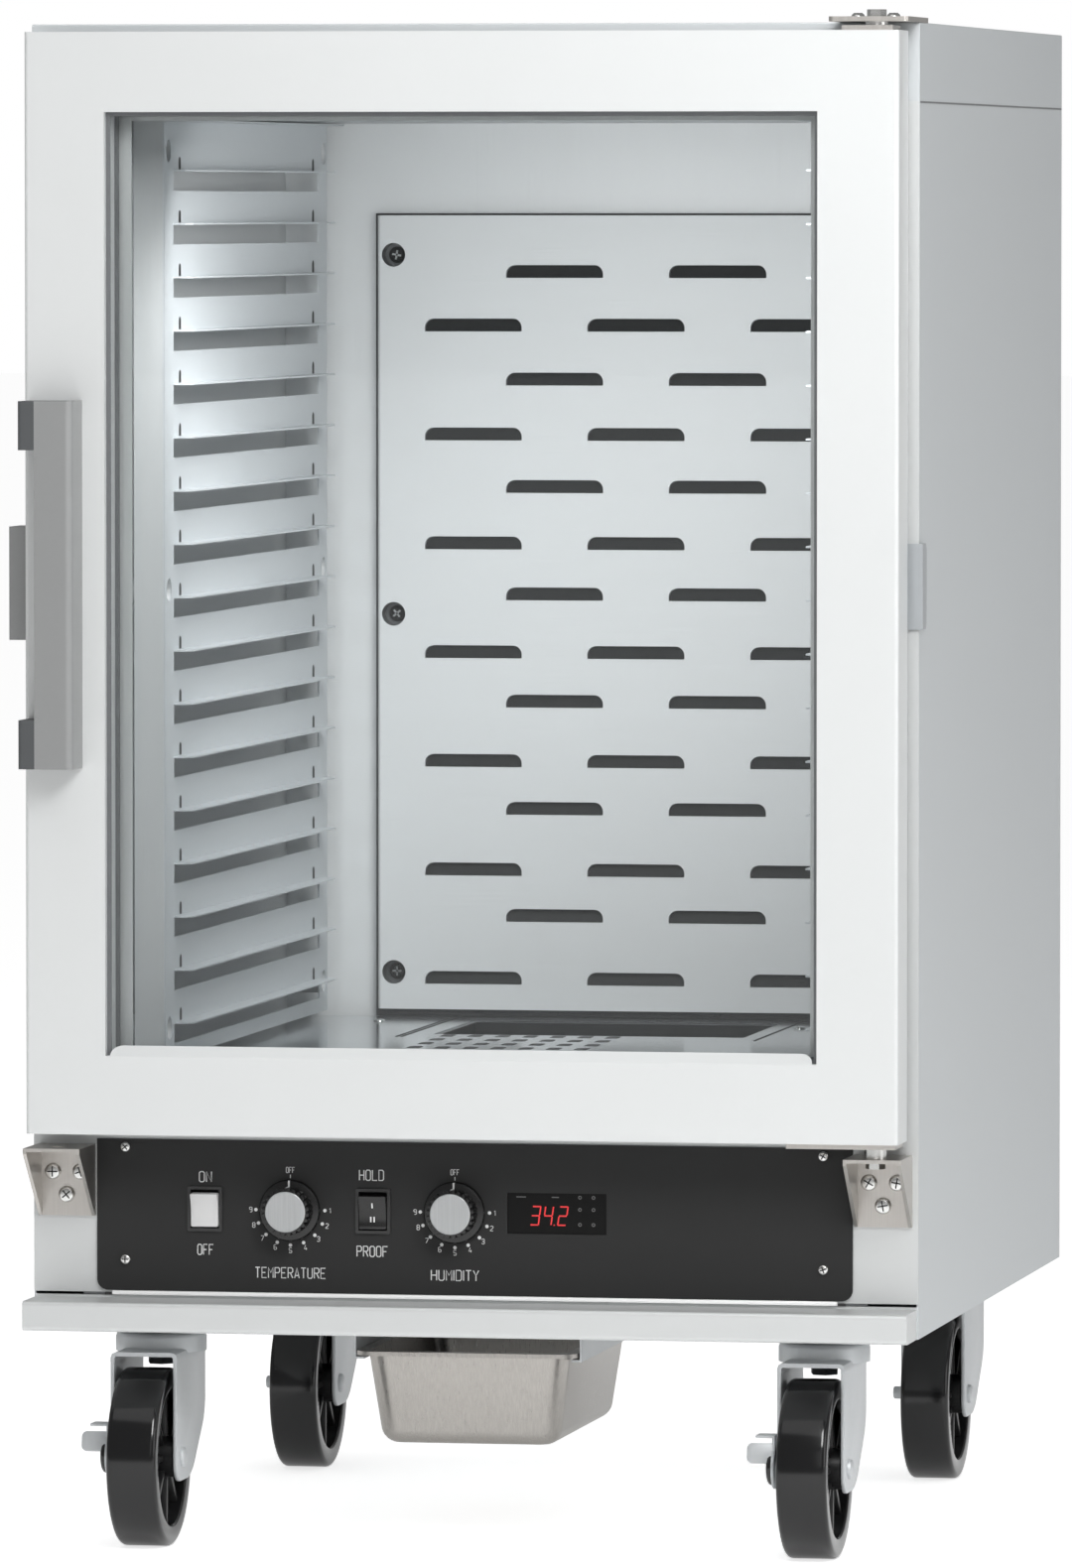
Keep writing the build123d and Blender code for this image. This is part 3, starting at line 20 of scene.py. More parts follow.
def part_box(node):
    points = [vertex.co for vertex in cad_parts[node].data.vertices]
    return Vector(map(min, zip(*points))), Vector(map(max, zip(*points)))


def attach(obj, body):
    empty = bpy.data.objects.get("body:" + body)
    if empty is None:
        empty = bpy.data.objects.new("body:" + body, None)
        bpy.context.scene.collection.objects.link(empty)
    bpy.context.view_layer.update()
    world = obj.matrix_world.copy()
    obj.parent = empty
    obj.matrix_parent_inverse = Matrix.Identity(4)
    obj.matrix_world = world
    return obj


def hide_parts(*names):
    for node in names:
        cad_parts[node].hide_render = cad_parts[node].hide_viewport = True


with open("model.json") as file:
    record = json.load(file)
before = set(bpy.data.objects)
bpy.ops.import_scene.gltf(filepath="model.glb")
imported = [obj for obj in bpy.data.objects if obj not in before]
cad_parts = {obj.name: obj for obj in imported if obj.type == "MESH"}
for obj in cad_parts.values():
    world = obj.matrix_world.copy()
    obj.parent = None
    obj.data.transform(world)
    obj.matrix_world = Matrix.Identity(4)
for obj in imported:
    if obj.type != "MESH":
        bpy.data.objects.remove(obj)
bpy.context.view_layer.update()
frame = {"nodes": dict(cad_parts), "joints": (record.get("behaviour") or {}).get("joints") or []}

log = logging.getLogger("proofing_cabinet")
MM = 0.001
PER_METRE = 1000.0
Colour = tuple[float, float, float]
Point = tuple[float, float, float]
Span = tuple[float, float]
Outline = list[Span]
SIDEWAYS: Point = (1.0, 0.0, 0.0)
TO_LEFT: Point = (-1.0, 0.0, 0.0)
ORIGIN: Point = (0.0, 0.0, 0.0)
INWARD: Point = (0.0, 1.0, 0.0)
TO_VIEWER: Point = (0.0, -1.0, 0.0)
UPWARD: Point = (0.0, 0.0, 1.0)
SIDES = (-1, 1)
EDGE_STEPS = 2
CORNER_STEPS = 6
SHARP_ANGLE = 50
WELD = 0.0005
NEAR = 0.1


def tint(red: float, green: float, blue: float) -> Colour:
    """Turns a display colour from 0 to 255 into the linear colour that shaders use.

    Args:
        red: The red level.
        green: The green level.
        blue: The blue level.

    Returns:
        The linear colour.
    """
    levels = [level / 255 for level in (red, green, blue)]
    linear = [v / 12.92 if v <= 0.04045 else ((v + 0.055) / 1.055) ** 2.4 for v in levels]
    return (linear[0], linear[1], linear[2])


class Grain(Enum):
    """The way a metal surface was brushed."""

    UPRIGHT = (1.0, 1.0, 0.02)
    ACROSS = (0.02, 1.0, 1.0)
    DEEP = (1.0, 0.02, 1.0)


class Flow:
    """A value that runs through a shader and takes part in plain arithmetic."""

    def __init__(self, network: "Network", socket: Any) -> None:
        """Keeps the socket that the value comes out of.

        Args:
            network: The node tree that the value belongs to.
            socket: The node socket that gives it.
        """
        self.network = network
        self.socket = socket

    def sum_of(self, operation: str, first: Any, second: Any) -> "Flow":
        """Adds one Math node.

        Args:
            operation: The node's operation.
            first: The first value or number.
            second: The second value or number.

        Returns:
            The node's result.
        """
        return self.network.node("ShaderNodeMath", {"operation": operation}, {0: first, 1: second})

    def __add__(self, other: Any) -> "Flow":
        """Adds."""
        return self.sum_of("ADD", self, other)

    def __radd__(self, other: Any) -> "Flow":
        """Adds, from the right."""
        return self.sum_of("ADD", other, self)

    def __sub__(self, other: Any) -> "Flow":
        """Takes away."""
        return self.sum_of("SUBTRACT", self, other)

    def __rsub__(self, other: Any) -> "Flow":
        """Is taken away."""
        return self.sum_of("SUBTRACT", other, self)

    def __mul__(self, other: Any) -> "Flow":
        """Multiplies."""
        return self.sum_of("MULTIPLY", self, other)

    def __rmul__(self, other: Any) -> "Flow":
        """Multiplies, from the right."""
        return self.sum_of("MULTIPLY", other, self)

    def __truediv__(self, other: Any) -> "Flow":
        """Divides."""
        return self.sum_of("DIVIDE", self, other)

    def __pow__(self, other: Any) -> "Flow":
        """Raises to a power."""
        return self.sum_of("POWER", self, other)


class Network:
    """A node tree under construction, of a material or of the world."""

    def __init__(self, tree: bpy.types.NodeTree) -> None:
        """Takes a tree over and clears it.

        Args:
            tree: The tree.
        """
        self.tree = tree
        self.tree.nodes.clear()

    def feed(self, socket: Any, value: Any) -> None:
        """Sets a socket, or links another node's result to it.

        Args:
            socket: The socket.
            value: The value or result.
        """
        if isinstance(value, Flow):
            self.tree.links.new(value.socket, socket)
        else:
            socket.default_value = value

    def node(self, kind: str, settings: dict[str, Any], inputs: dict[Any, Any], output: Any = 0) -> Flow:
        """Adds any node.

        Args:
            kind: The node's type.
            settings: The node's own settings, set before its sockets.
            inputs: Values or links for its sockets, by name or number.
            output: The name or number of the socket that is wanted.

        Returns:
            The value at that output.
        """
        made = self.tree.nodes.new(kind)
        for key, value in settings.items():
            setattr(made, key, value)
        for key, value in inputs.items():
            self.feed(made.inputs[key], value)
        return Flow(self, made.outputs[output])


class Shader(Network):
    """One material under construction."""

    def __init__(self, name: str) -> None:
        """Starts a material with a Principled shader on its output.

        Args:
            name: The material's name.
        """
        self.material = bpy.data.materials.new(name)
        self.material.use_nodes = True
        super().__init__(self.material.node_tree)
        self.output = self.tree.nodes.new("ShaderNodeOutputMaterial")
        self.surface = self.tree.nodes.new("ShaderNodeBsdfPrincipled")
        self.tree.links.new(self.surface.outputs[0], self.output.inputs["Surface"])

    def place(self, scale: Point = (1.0, 1.0, 1.0)) -> Flow:
        """Gives the object's own coordinates, stretched.

        Args:
            scale: The stretch along each axis.

        Returns:
            The coordinates.
        """
        here = self.node("ShaderNodeTexCoord", {}, {}, "Object")
        return self.node("ShaderNodeMapping", {}, {"Vector": here, "Scale": scale})

    def noise(self, where: Flow, scale: float, detail: float = 3.0, rough: float = 0.55) -> Flow:
        """Adds a noise texture.

        Args:
            where: The coordinates it reads.
            scale: How many cells there are to a metre.
            detail: How many finer layers it has.
            rough: How strong the finer layers are.

        Returns:
            Its level, around one half.
        """
        sockets = {"Vector": where, "Scale": scale, "Detail": detail, "Roughness": rough}
        return self.node("ShaderNodeTexNoise", {}, sockets, "Fac")

    def blend(self, amount: Flow, low: Colour, high: Colour) -> Flow:
        """Mixes two colours.

        Args:
            amount: 0 for the first colour, 1 for the second.
            low: The first colour.
            high: The second colour.

        Returns:
            The mixed colour.
        """
        sockets = {"Factor": amount, 6: (*low, 1.0), 7: (*high, 1.0)}
        return self.node("ShaderNodeMix", {"data_type": "RGBA", "clamp_factor": True}, sockets, 2)

    def set(self, **sockets: Any) -> None:
        """Sets or links the Principled shader's sockets.

        Args:
            sockets: Values or links by the sockets' names, with underscores for spaces.
        """
        for key, value in sockets.items():
            colour = isinstance(value, tuple) and len(value) == 3
            self.feed(self.surface.inputs[key.replace("_", " ")], (*value, 1.0) if colour else value)

    def relief(self, height: Flow, depth: float) -> None:
        """Gives the surface a bump.

        Args:
            height: The height from 0 to 1.
            depth: What a height of 1 stands for, in metres.
        """
        bump = self.node("ShaderNodeBump", {}, {"Height": height, "Distance": depth, "Strength": 1.0})
        self.feed(self.surface.inputs["Normal"], bump)


@dataclass(frozen=True)
class Finish:
    """A surface finish, made into a material the first time that it is asked for."""

    name: str
    colour: Colour
    roughness: float = 0.4
    variation: float = 0.05

    def dress(self, shader: Shader) -> None:
        """Sets the shader up; each kind of finish has its own way."""
        raise NotImplementedError

    def shade(self, shader: Shader, level: Flow, depth: float) -> Flow:
        """Gives the finish's colour, darkened where a level is low.

        Args:
            shader: The material under construction.
            level: The level.
            depth: The share of the colour that is lost at level 0.

        Returns:
            The colour.
        """
        return shader.blend(level, tuple(c * (1 - depth) for c in self.colour), self.colour)

    def material(self) -> bpy.types.Material:
        """Gives the finish's material.

        Returns:
            The material, made once.
        """
        made = bpy.data.materials.get(self.name)
        if made is None:
            shader = Shader(self.name)
            self.dress(shader)
            made = shader.material
        return made


@dataclass(frozen=True)
class Paint(Finish):
    """Sprayed enamel over sheet metal, with a faint orange peel."""

    metal: float = 0.0
    peel: float = 0.00001
    peel_scale: float = 700.0
    cloud_scale: float = 4.0
    unevenness: float = 0.06

    def dress(self, shader: Shader) -> None:
        """Sets the shader up as paint.

        Args:
            shader: The material under construction.
        """
        where = shader.place()
        cloud = shader.noise(where, self.cloud_scale)
        skin = shader.noise(where, self.peel_scale, 2.0)
        shader.set(Base_Color=self.shade(shader, cloud, self.variation), Metallic=self.metal)
        shader.set(Roughness=self.roughness + (cloud - 0.5) * self.unevenness)
        shader.relief(skin, self.peel)


@dataclass(frozen=True)
class Brushed(Finish):
    """Brushed sheet metal: fine scratches along the grain, and slow clouds across it."""

    grain: Grain = Grain.UPRIGHT
    scratch: float = 0.06
    depth: float = 0.000002
    metal: float = 1.0
    hair_scale: float = 900.0
    cloud_scale: float = 5.0
    unevenness: float = 0.06

    def dress(self, shader: Shader) -> None:
        """Sets the shader up as brushed metal.

        Args:
            shader: The material under construction.
        """
        hair = shader.noise(shader.place(self.grain.value), self.hair_scale, 4.0, 0.7)
        cloud = shader.noise(shader.place(), self.cloud_scale)
        shader.set(Base_Color=self.shade(shader, hair, 2 * self.scratch), Metallic=self.metal)
        shader.set(Roughness=self.roughness + (hair - 0.5) * self.scratch + (cloud - 0.5) * self.unevenness)
        shader.relief(hair, self.depth)


@dataclass(frozen=True)
class Moulded(Finish):
    """Moulded plastic or rubber with a fine spark-eroded grain."""

    grit: float = 0.00002
    grit_scale: float = 2500.0
    cloud_scale: float = 25.0
    unevenness: float = 0.08
    shine: float = 0.5

    def dress(self, shader: Shader) -> None:
        """Sets the shader up as moulded plastic.

        Args:
            shader: The material under construction.
        """
        where = shader.place()
        cloud = shader.noise(where, self.cloud_scale)
        grit = shader.noise(where, self.grit_scale, 2.0)
        shader.set(Base_Color=self.shade(shader, cloud, self.variation), Specular_IOR_Level=self.shine)
        shader.set(Roughness=self.roughness + (grit - 0.5) * self.unevenness)
        shader.relief(grit, self.grit)


@dataclass(frozen=True)
class Cast(Finish):
    """Plated or pressed metal under a thin dull coat."""

    metal: float = 0.55
    cloud_scale: float = 30.0
    spangle_scale: float = 260.0
    unevenness: float = 0.12
    depth: float = 0.00001

    def dress(self, shader: Shader) -> None:
        """Sets the shader up as plated metal.

        Args:
            shader: The material under construction.
        """
        where = shader.place()
        cloud = shader.noise(where, self.cloud_scale)
        spangle = shader.noise(where, self.spangle_scale, 4.0, 0.6)
        shader.set(Base_Color=self.shade(shader, spangle, 2 * self.variation), Metallic=self.metal)
        shader.set(Roughness=self.roughness + (cloud - 0.5) * self.unevenness)
        shader.relief(spangle, self.depth)


@dataclass(frozen=True)
class Clear(Finish):
    """Float glass: clear ahead, brighter towards the edges, with faint dust."""

    mirror: float = 0.5
    index: float = 1.45
    passed: Colour = (0.985, 0.99, 0.99)
    dust: float = 0.004
    dust_scale: float = 60.0

    def dress(self, shader: Shader) -> None:
        """Sets the shader up as clear glass.

        Args:
            shader: The material under construction.
        """
        dust = shader.noise(shader.place(), self.dust_scale, 5.0, 0.7)
        shader.set(Base_Color=self.colour, Metallic=1.0, Roughness=self.roughness)
        see_through = shader.node("ShaderNodeBsdfTransparent", {}, {"Color": (*self.passed, 1.0)})
        facing = shader.node("ShaderNodeFresnel", {}, {"IOR": self.index})
        share = facing * self.mirror + dust * self.dust
        reflection = Flow(shader, shader.surface.outputs[0])
        sockets = {0: share, 1: see_through, 2: reflection}
        mixed = shader.node("ShaderNodeMixShader", {}, sockets)
        shader.feed(shader.output.inputs["Surface"], mixed)


@dataclass(frozen=True)
class Glow(Finish):
    """The lit segments of the display."""

    strength: float = 1.2
    ripple: float = 0.2
    ripple_scale: float = 400.0

    def dress(self, shader: Shader) -> None:
        """Sets the shader up as a lit segment.

        Args:
            shader: The material under construction.
        """
        ripple = shader.noise(shader.place(), self.ripple_scale)
        shader.set(Base_Color=self.shade(shader, ripple, self.ripple), Roughness=self.roughness)
        shader.set(Emission_Color=self.shade(shader, ripple, self.ripple))
        shader.set(Emission_Strength=self.strength)


@dataclass(frozen=True)
class Backdrop(Finish):
    """A studio floor that glows white to the camera and more softly as light."""

    glow: float = 0.7
    light: float = 0.4

    def dress(self, shader: Shader) -> None:
        """Sets the shader up as the studio floor.

        Args:
            shader: The material under construction.
        """
        seen = shader.node("ShaderNodeLightPath", {}, {}, "Is Camera Ray")
        soft, full = (self.light,) * 3, (self.glow,) * 3
        shader.set(Base_Color=self.colour, Roughness=self.roughness)
        shader.set(Emission_Color=shader.blend(seen, soft, full), Emission_Strength=1.0)


WHITE_DOOR = Paint("satin_white_steel", tint(218, 220, 220), 0.36, 0.015, metal=0.35)
# Brighter than the other white enamel: a painted highlight along the strip under the control panel.
HIGHLIGHT_WHITE = Paint("white_enamel_painted_highlight", tint(250, 250, 250), 0.25, 0.01)
WHITE_BASE = Paint("satin_white_base", tint(202, 204, 204), 0.38, 0.02, metal=0.35)
GREY_SIDE = Paint("satin_grey_side", tint(196, 200, 202), 0.45, 0.02, metal=0.3)
# The chamber's lining is one stainless steel in lit and shaded copies: the side walls and back wall
# brighter, the ceiling and humidity well much darker, as painted light and shade.
LINER = Brushed("chamber_stainless", tint(224, 226, 227), 0.6, grain=Grain.UPRIGHT, metal=0.0)
LINER_BACK = Brushed("back_stainless", tint(244, 246, 247), 0.24, grain=Grain.UPRIGHT, metal=0.3)
SHADED_CEILING = Brushed("ceiling_stainless", tint(150, 154, 156), 0.3, grain=Grain.DEEP, metal=0.8)
LINER_FLOOR = Brushed("floor_stainless", tint(205, 209, 212), 0.13, grain=Grain.DEEP, metal=0.9)
SHADED_WELL_STEEL = Brushed("well_stainless", tint(96, 98, 100), 0.3, grain=Grain.DEEP, metal=0.9)
FLANGE = Brushed("flange_stainless", tint(214, 216, 217), 0.5, grain=Grain.UPRIGHT, metal=0.0)
CUP_STEEL = Cast("cup_steel", tint(120, 122, 124), 0.38, 0.05, metal=0.6)
STRIKE = Brushed("strike_stainless", tint(176, 180, 183), 0.4, grain=Grain.UPRIGHT, metal=0.5)
DUCT = Brushed("duct_stainless", tint(232, 234, 235), 0.4, grain=Grain.ACROSS, metal=0.25)
RACK = Brushed("rack_stainless", tint(216, 220, 223), 0.42, grain=Grain.DEEP, metal=0.3)
PAN_STEEL = Brushed("pan_stainless", tint(190, 186, 181), 0.3, grain=Grain.UPRIGHT, scratch=0.2)
BRACKET_STEEL = Brushed("bracket_stainless", tint(205, 201, 196), 0.34, grain=Grain.UPRIGHT, scratch=0.1)
CAP_METAL = Brushed("knob_cap_aluminium", tint(205, 207, 208), 0.32, grain=Grain.UPRIGHT, scratch=0.16)
SCREW = Cast("bright_screw", tint(220, 220, 218), 0.22, 0.04, metal=1.0)
ZINC = Cast("plated_caster_steel", tint(200, 203, 205), 0.42, 0.04, metal=0.35)
# A darker copy of the caster zinc: painted shade under the base.
SHADED_RACE_ZINC = Cast("raceway_zinc_painted_shade", tint(122, 125, 127), 0.42, 0.04, metal=0.35)
HANDLE_GREY = Cast("handle_grey", tint(143, 144, 144), 0.42, 0.02, metal=0.3)
CAP_GREY = Moulded("handle_cap_grey", tint(74, 76, 78), 0.5, 0.05)
PANEL_BLACK = Paint("control_panel_black", tint(26, 26, 26), 0.75, 0.05)
WINDOW_BLACK = Moulded("display_window", tint(20, 20, 20), 0.16, 0.05, grit=0.0, shine=0.12)
BLACK_PLASTIC = Moulded("black_plastic", tint(28, 28, 28), 0.38, 0.08)
GLOSS_BLACK = Moulded("gloss_black_plastic", tint(24, 24, 24), 0.2, 0.08, grit=0.000004)
WHITE_ROCKER = Moulded("pale_grey_plastic", tint(204, 204, 204), 0.35, 0.03)
TYRE = Moulded("black_tyre", tint(15, 15, 16), 0.14, 0.05, grit=0.000001)
RIM = Moulded("black_rim", tint(18, 18, 19), 0.3, 0.05)
GREY_SEAL = Moulded("grey_window_seal", tint(96, 98, 100), 0.6, 0.05)
# Black strips round the duct panel: painted shade of the gap at its edges.
GAP_PAINTED_SHADE = Moulded("painted_shade_in_gaps", tint(40, 40, 42), 0.6, 0.08)
GASKET = Moulded("grey_gasket", tint(120, 122, 124), 0.6, 0.05)
GLASS = Clear("door_glass", tint(250, 252, 252), 0.02)
WHITE_INK = Moulded("white_ink", tint(222, 222, 222), 0.5, 0.04)
PALE_INK = Moulded("pale_ink", tint(205, 205, 205), 0.5, 0.04)
GREY_INK = Moulded("grey_ink", tint(96, 96, 96), 0.5, 0.04)
RED_DIGIT = Glow("red_segments", tint(196, 44, 46), 0.4, strength=0.75)
WOOL = Moulded("insulation", tint(225, 214, 180), 0.9, 0.15, grit=0.0004)
# Near black: painted shade in screw recesses, rack slots and cups, and the well's perforations.
PAINTED_HOLE_SHADE = Moulded("painted_shade_in_holes_and_recesses", tint(12, 12, 12), 0.6, 0.05)
# Near black: painted shade inside the duct's louvres and the drain's holes.
PAINTED_OPENING_SHADE = Moulded("painted_shade_in_openings", tint(26, 27, 28), 0.5, 0.1)
# Near black: painted shade at the bottom of the duct spacers' deep cups.
CUP_SCREW_IN_SHADE = Cast("cup_screw_painted_shade", tint(16, 17, 18), 0.5, 0.05, metal=0.0)
MOTOR = Cast("motor_grey", tint(120, 122, 126), 0.5, 0.05, metal=0.3)

LETTER_GAP = 1.7
GLYPH_ROWS = 8
INK = 0.08
GLYPHS: dict[str, tuple[str, ...]] = {
    "A": ("00 28 40", "12 32"), "D": ("00 08 38 47 41 30 00",), "E": ("40 00 08 48", "04 34"),
    "F": ("00 08 48", "04 34"), "H": ("00 08", "40 48", "04 44"), "I": ("00 08",), "L": ("08 00 40",),
    "M": ("00 08 24 48 40",), "N": ("00 08 40 48",), "O": ("10 01 07 18 38 47 41 30 10",),
    "P": ("00 08 38 47 45 34 04",), "R": ("00 08 38 47 45 34 04", "24 40"), "T": ("08 48", "28 20"),
    "U": ("08 01 10 30 41 48",), "Y": ("08 24 48", "24 20"), "1": ("06 18 10",),
    "2": ("07 18 38 47 45 01 00 40",), "3": ("07 18 38 47 45 34 43 41 30 10 01", "14 34"),
    "4": ("28 02 42", "34 30"), "5": ("48 08 04 34 43 41 30 10 01",),
    "6": ("38 18 07 01 10 30 41 43 34 04",), "7": ("08 48 47 10",),
    "8": ("14 05 07 18 38 47 45 34 14", "14 03 01 10 30 41 43 34"),
    "9": ("44 14 05 07 18 38 47 41 30 10",),
}

NODE_FINISHES: dict[str, Finish] = {
    "side_panel_left": GREY_SIDE, "side_panel_right": GREY_SIDE, "back_panel": GREY_SIDE,
    "top_cap": GREY_SIDE, "front_frame": WHITE_BASE, "base_frame": WHITE_BASE,
    "liner_left": LINER, "liner_right": LINER, "liner_back": LINER_BACK, "liner_ceiling": SHADED_CEILING,
    "interior_floor": LINER_FLOOR, "duct_panel": DUCT, "duct_spacers": CUP_STEEL,
    "slide_rack_left": RACK, "slide_rack_right": RACK, "rack_spacers": LINER, "insulation": WOOL,
    "humidity_pan": SHADED_WELL_STEEL, "humidity_heater": MOTOR, "air_heater": MOTOR,
    "blower_housing": ZINC, "blower_wheel": BLACK_PLASTIC, "blower_motor": MOTOR,
    "pan_rails": ZINC, "control_panel": PANEL_BLACK, "switch_bodies": BLACK_PLASTIC,
    "dial_controls": BLACK_PLASTIC, "display_module": WINDOW_BLACK, "power_inlet": BLACK_PLASTIC,
    "door_shell": WHITE_DOOR, "door_back": WHITE_DOOR, "door_glass": GLASS,
    "window_seals": GREY_SEAL, "door_gasket": GASKET, "strike_plates": STRIKE,
    "top_hinge_plate": BRACKET_STEEL, "door_hinge_plates": BRACKET_STEEL, "hinge_pins": SCREW,
    "hinge_brackets": BRACKET_STEEL, "handle_bar": HANDLE_GREY, "handle_end_caps": CAP_GREY,
    "magnet_block": HANDLE_GREY,
}


class Form:
    """A mesh under construction in millimetres, made of bmesh operators."""

    def __init__(self) -> None:
        """Starts empty."""
        self.mesh = bmesh.new()

    def box(self, x: Span, y: Span, z: Span, edge: float = 0.0) -> "Form":
        """Adds a block between three pairs of limits.

        Args:
            x: Its limits to the sides.
            y: Its limits in depth.
            z: Its limits in height.
            edge: The radius of its edges.

        Returns:
            The form.
        """
        made = bmesh.ops.create_cube(self.mesh, size=1.0)["verts"]
        sizes = Vector((x[1] - x[0], y[1] - y[0], z[1] - z[0]))
        middle = Vector(((x[0] + x[1]) / 2, (y[0] + y[1]) / 2, (z[0] + z[1]) / 2))
        bmesh.ops.scale(self.mesh, vec=sizes, verts=made)
        bmesh.ops.translate(self.mesh, vec=middle, verts=made)
        if edge > 0:
            self.round_edges(list({e for v in made for e in v.link_edges}), edge)
        return self

    def round_edges(self, edges: list[Any], radius: float, steps: int = EDGE_STEPS,
                    clamp: bool = False) -> None:
        """Rounds edges.

        Args:
            edges: The edges.
            radius: How far the rounding reaches from each.
            steps: How many steps it has.
            clamp: Whether roundings that would cross are cut back.
        """
        bmesh.ops.bevel(self.mesh, geom=edges, offset=radius, segments=steps, affect="EDGES",
                        profile=0.5, material=-1, clamp_overlap=clamp)

    def plate(self, outline: Outline, across: Point, up: Point, origin: Point, thick: float,
              corner: float = 0.0, edge: float = 0.0) -> "Form":
        """Adds a flat plate with rounded corners.

        Args:
            outline: Its corners, across and up.
            across: The direction of the outline's first coordinate.
            up: The direction of its second.
            origin: Where the outline's zero lies.
            thick: How far it is pulled along across x up, either way.
            corner: The radius of its corners.
            edge: The radius of the edges round both faces.

        Returns:
            The form.
        """
        side, rise, start = Vector(across), Vector(up), Vector(origin)
        corners = [self.mesh.verts.new(start + side * a + rise * b) for a, b in outline]
        faces = [self.mesh.faces.new(corners)]
        if corner > 0:
            faces = self._round_corners(corners, corner)
        pulled = bmesh.ops.extrude_face_region(self.mesh, geom=faces)["geom"]
        moved = [g for g in pulled if isinstance(g, bmesh.types.BMVert)]
        bmesh.ops.translate(self.mesh, vec=side.cross(rise) * thick, verts=moved)
        body = {f for v in moved for f in v.link_faces} | set(faces)
        bmesh.ops.recalc_face_normals(self.mesh, faces=list(body))
        if edge > 0:
            rims = {e for f in body for e in f.edges if len(e.link_faces) == 2}
            sharp = [e for e in rims if e.calc_face_angle(0.0) > math.radians(SHARP_ANGLE)]
            self.round_edges(sharp, edge, clamp=True)
        return self

    def _round_corners(self, corners: list[Any], radius: float) -> list[Any]:
        """Rounds a flat face's corners.

        Args:
            corners: The corner vertices.
            radius: The radius, measured along the edges.

        Returns:
            The face or faces that are left.
        """
        result = bmesh.ops.bevel(self.mesh, geom=corners, offset=radius, segments=CORNER_STEPS,
                                 affect="VERTICES", profile=0.5, material=-1, clamp_overlap=True)
        return list({f for v in result["verts"] for f in v.link_faces})

    def turning(self, profile: Outline, centre: Point, axis: Point, steps: int = 64) -> "Form":
        """Adds a turned shape.

        Args:
            profile: Pairs of distance along the axis and radius.
            centre: A point on the axis, where the distance is zero.
            axis: The axis's direction.
            steps: How many steps the full turn has.

        Returns:
            The form.
        """
        along = Vector(axis).normalized()
        out = along.orthogonal().normalized()
        start = Vector(centre)
        points = [self.mesh.verts.new(start + along * a + out * r) for a, r in profile]
        edges = [self.mesh.edges.new(pair) for pair in zip(points, points[1:])]
        before = set(self.mesh.faces)
        bmesh.ops.spin(self.mesh, geom=points + edges, cent=start, axis=along, dvec=(0, 0, 0),
                       angle=math.tau, steps=steps, use_merge=True, use_duplicate=False)
        made = [f for f in self.mesh.faces if f not in before]
        verts = list({v for f in made for v in f.verts})
        bmesh.ops.remove_doubles(self.mesh, verts=verts, dist=WELD)
        made = [f for f in self.mesh.faces if f not in before]
        bmesh.ops.recalc_face_normals(self.mesh, faces=made)
        return self

    def disc(self, span: Span, radius: float, centre: Point, axis: Point, steps: int) -> "Form":
        """Adds a plain disc or pin.

        Args:
            span: Where it starts and ends along the axis.
            radius: Its radius.
            centre: A point on the axis, where the distance is zero.
            axis: The axis's direction.
            steps: How many steps the full turn has.

        Returns:
            The form.
        """
        start, end = span
        return self.turning([(start, 0.0), (start, radius), (end, radius), (end, 0.0)], centre, axis, steps)

    def turn(self, angle: float, axis: Point, centre: Point) -> "Form":
        """Turns everything so far.

        Args:
            angle: The angle in degrees.
            axis: The axis's direction.
            centre: A point on the axis.

        Returns:
            The form.
        """
        spin = Matrix.Rotation(math.radians(angle), 3, Vector(axis))
        bmesh.ops.rotate(self.mesh, cent=Vector(centre), matrix=spin, verts=self.mesh.verts)
        return self

    def join(self, other: "Form") -> "Form":
        """Takes another form's mesh in.

        Args:
            other: The form, which is used up.

        Returns:
            The form.
        """
        held = bpy.data.meshes.new("held")
        other.mesh.to_mesh(held)
        other.mesh.free()
        self.mesh.from_mesh(held)
        bpy.data.meshes.remove(held)
        return self

    def piece(self, name: str, finish: Finish, body: str, slot: str,
              stands_for: tuple[str, ...] = (), smooth: float = 35.0) -> bpy.types.Object:
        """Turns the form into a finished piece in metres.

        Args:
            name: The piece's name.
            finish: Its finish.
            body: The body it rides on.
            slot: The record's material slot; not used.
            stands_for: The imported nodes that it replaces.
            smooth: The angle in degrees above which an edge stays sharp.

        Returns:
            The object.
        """
        bmesh.ops.scale(self.mesh, vec=(MM, MM, MM), verts=self.mesh.verts)
        for face in self.mesh.faces:
            face.smooth = True
        data = bpy.data.meshes.new(name)
        self.mesh.to_mesh(data)
        self.mesh.free()
        data.set_sharp_from_angle(angle=math.radians(smooth))
        data.materials.append(finish.material())
        made = bpy.data.objects.new(name, data)
        bpy.context.scene.collection.objects.link(made)
        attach(made, body)
        if stands_for:
            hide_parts(*stands_for)
        log.info("%s: %d faces on %s", name, len(data.polygons), body)
        return made


def limits_of(node: str) -> tuple[Vector, Vector]:
    """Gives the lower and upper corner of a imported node's box.

    Args:
        node: The node's name.

    Returns:
        Both corners, in millimetres.
    """
    low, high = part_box(node)
    return low * PER_METRE, high * PER_METRE


def middle_of(node: str) -> Vector:
    """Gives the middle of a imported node's box, in millimetres."""
    low, high = limits_of(node)
    return (low + high) / 2


def front_of(node: str) -> float:
    """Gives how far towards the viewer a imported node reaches, in millimetres."""
    return limits_of(node)[0].y


def pivot_of(body: str) -> Vector:
    """Gives the place of the joint that a body moves on, in millimetres."""
    joint = next(joint for joint in frame["joints"] if joint["child"] == body)
    return Vector(joint["pos_m"]) * PER_METRE


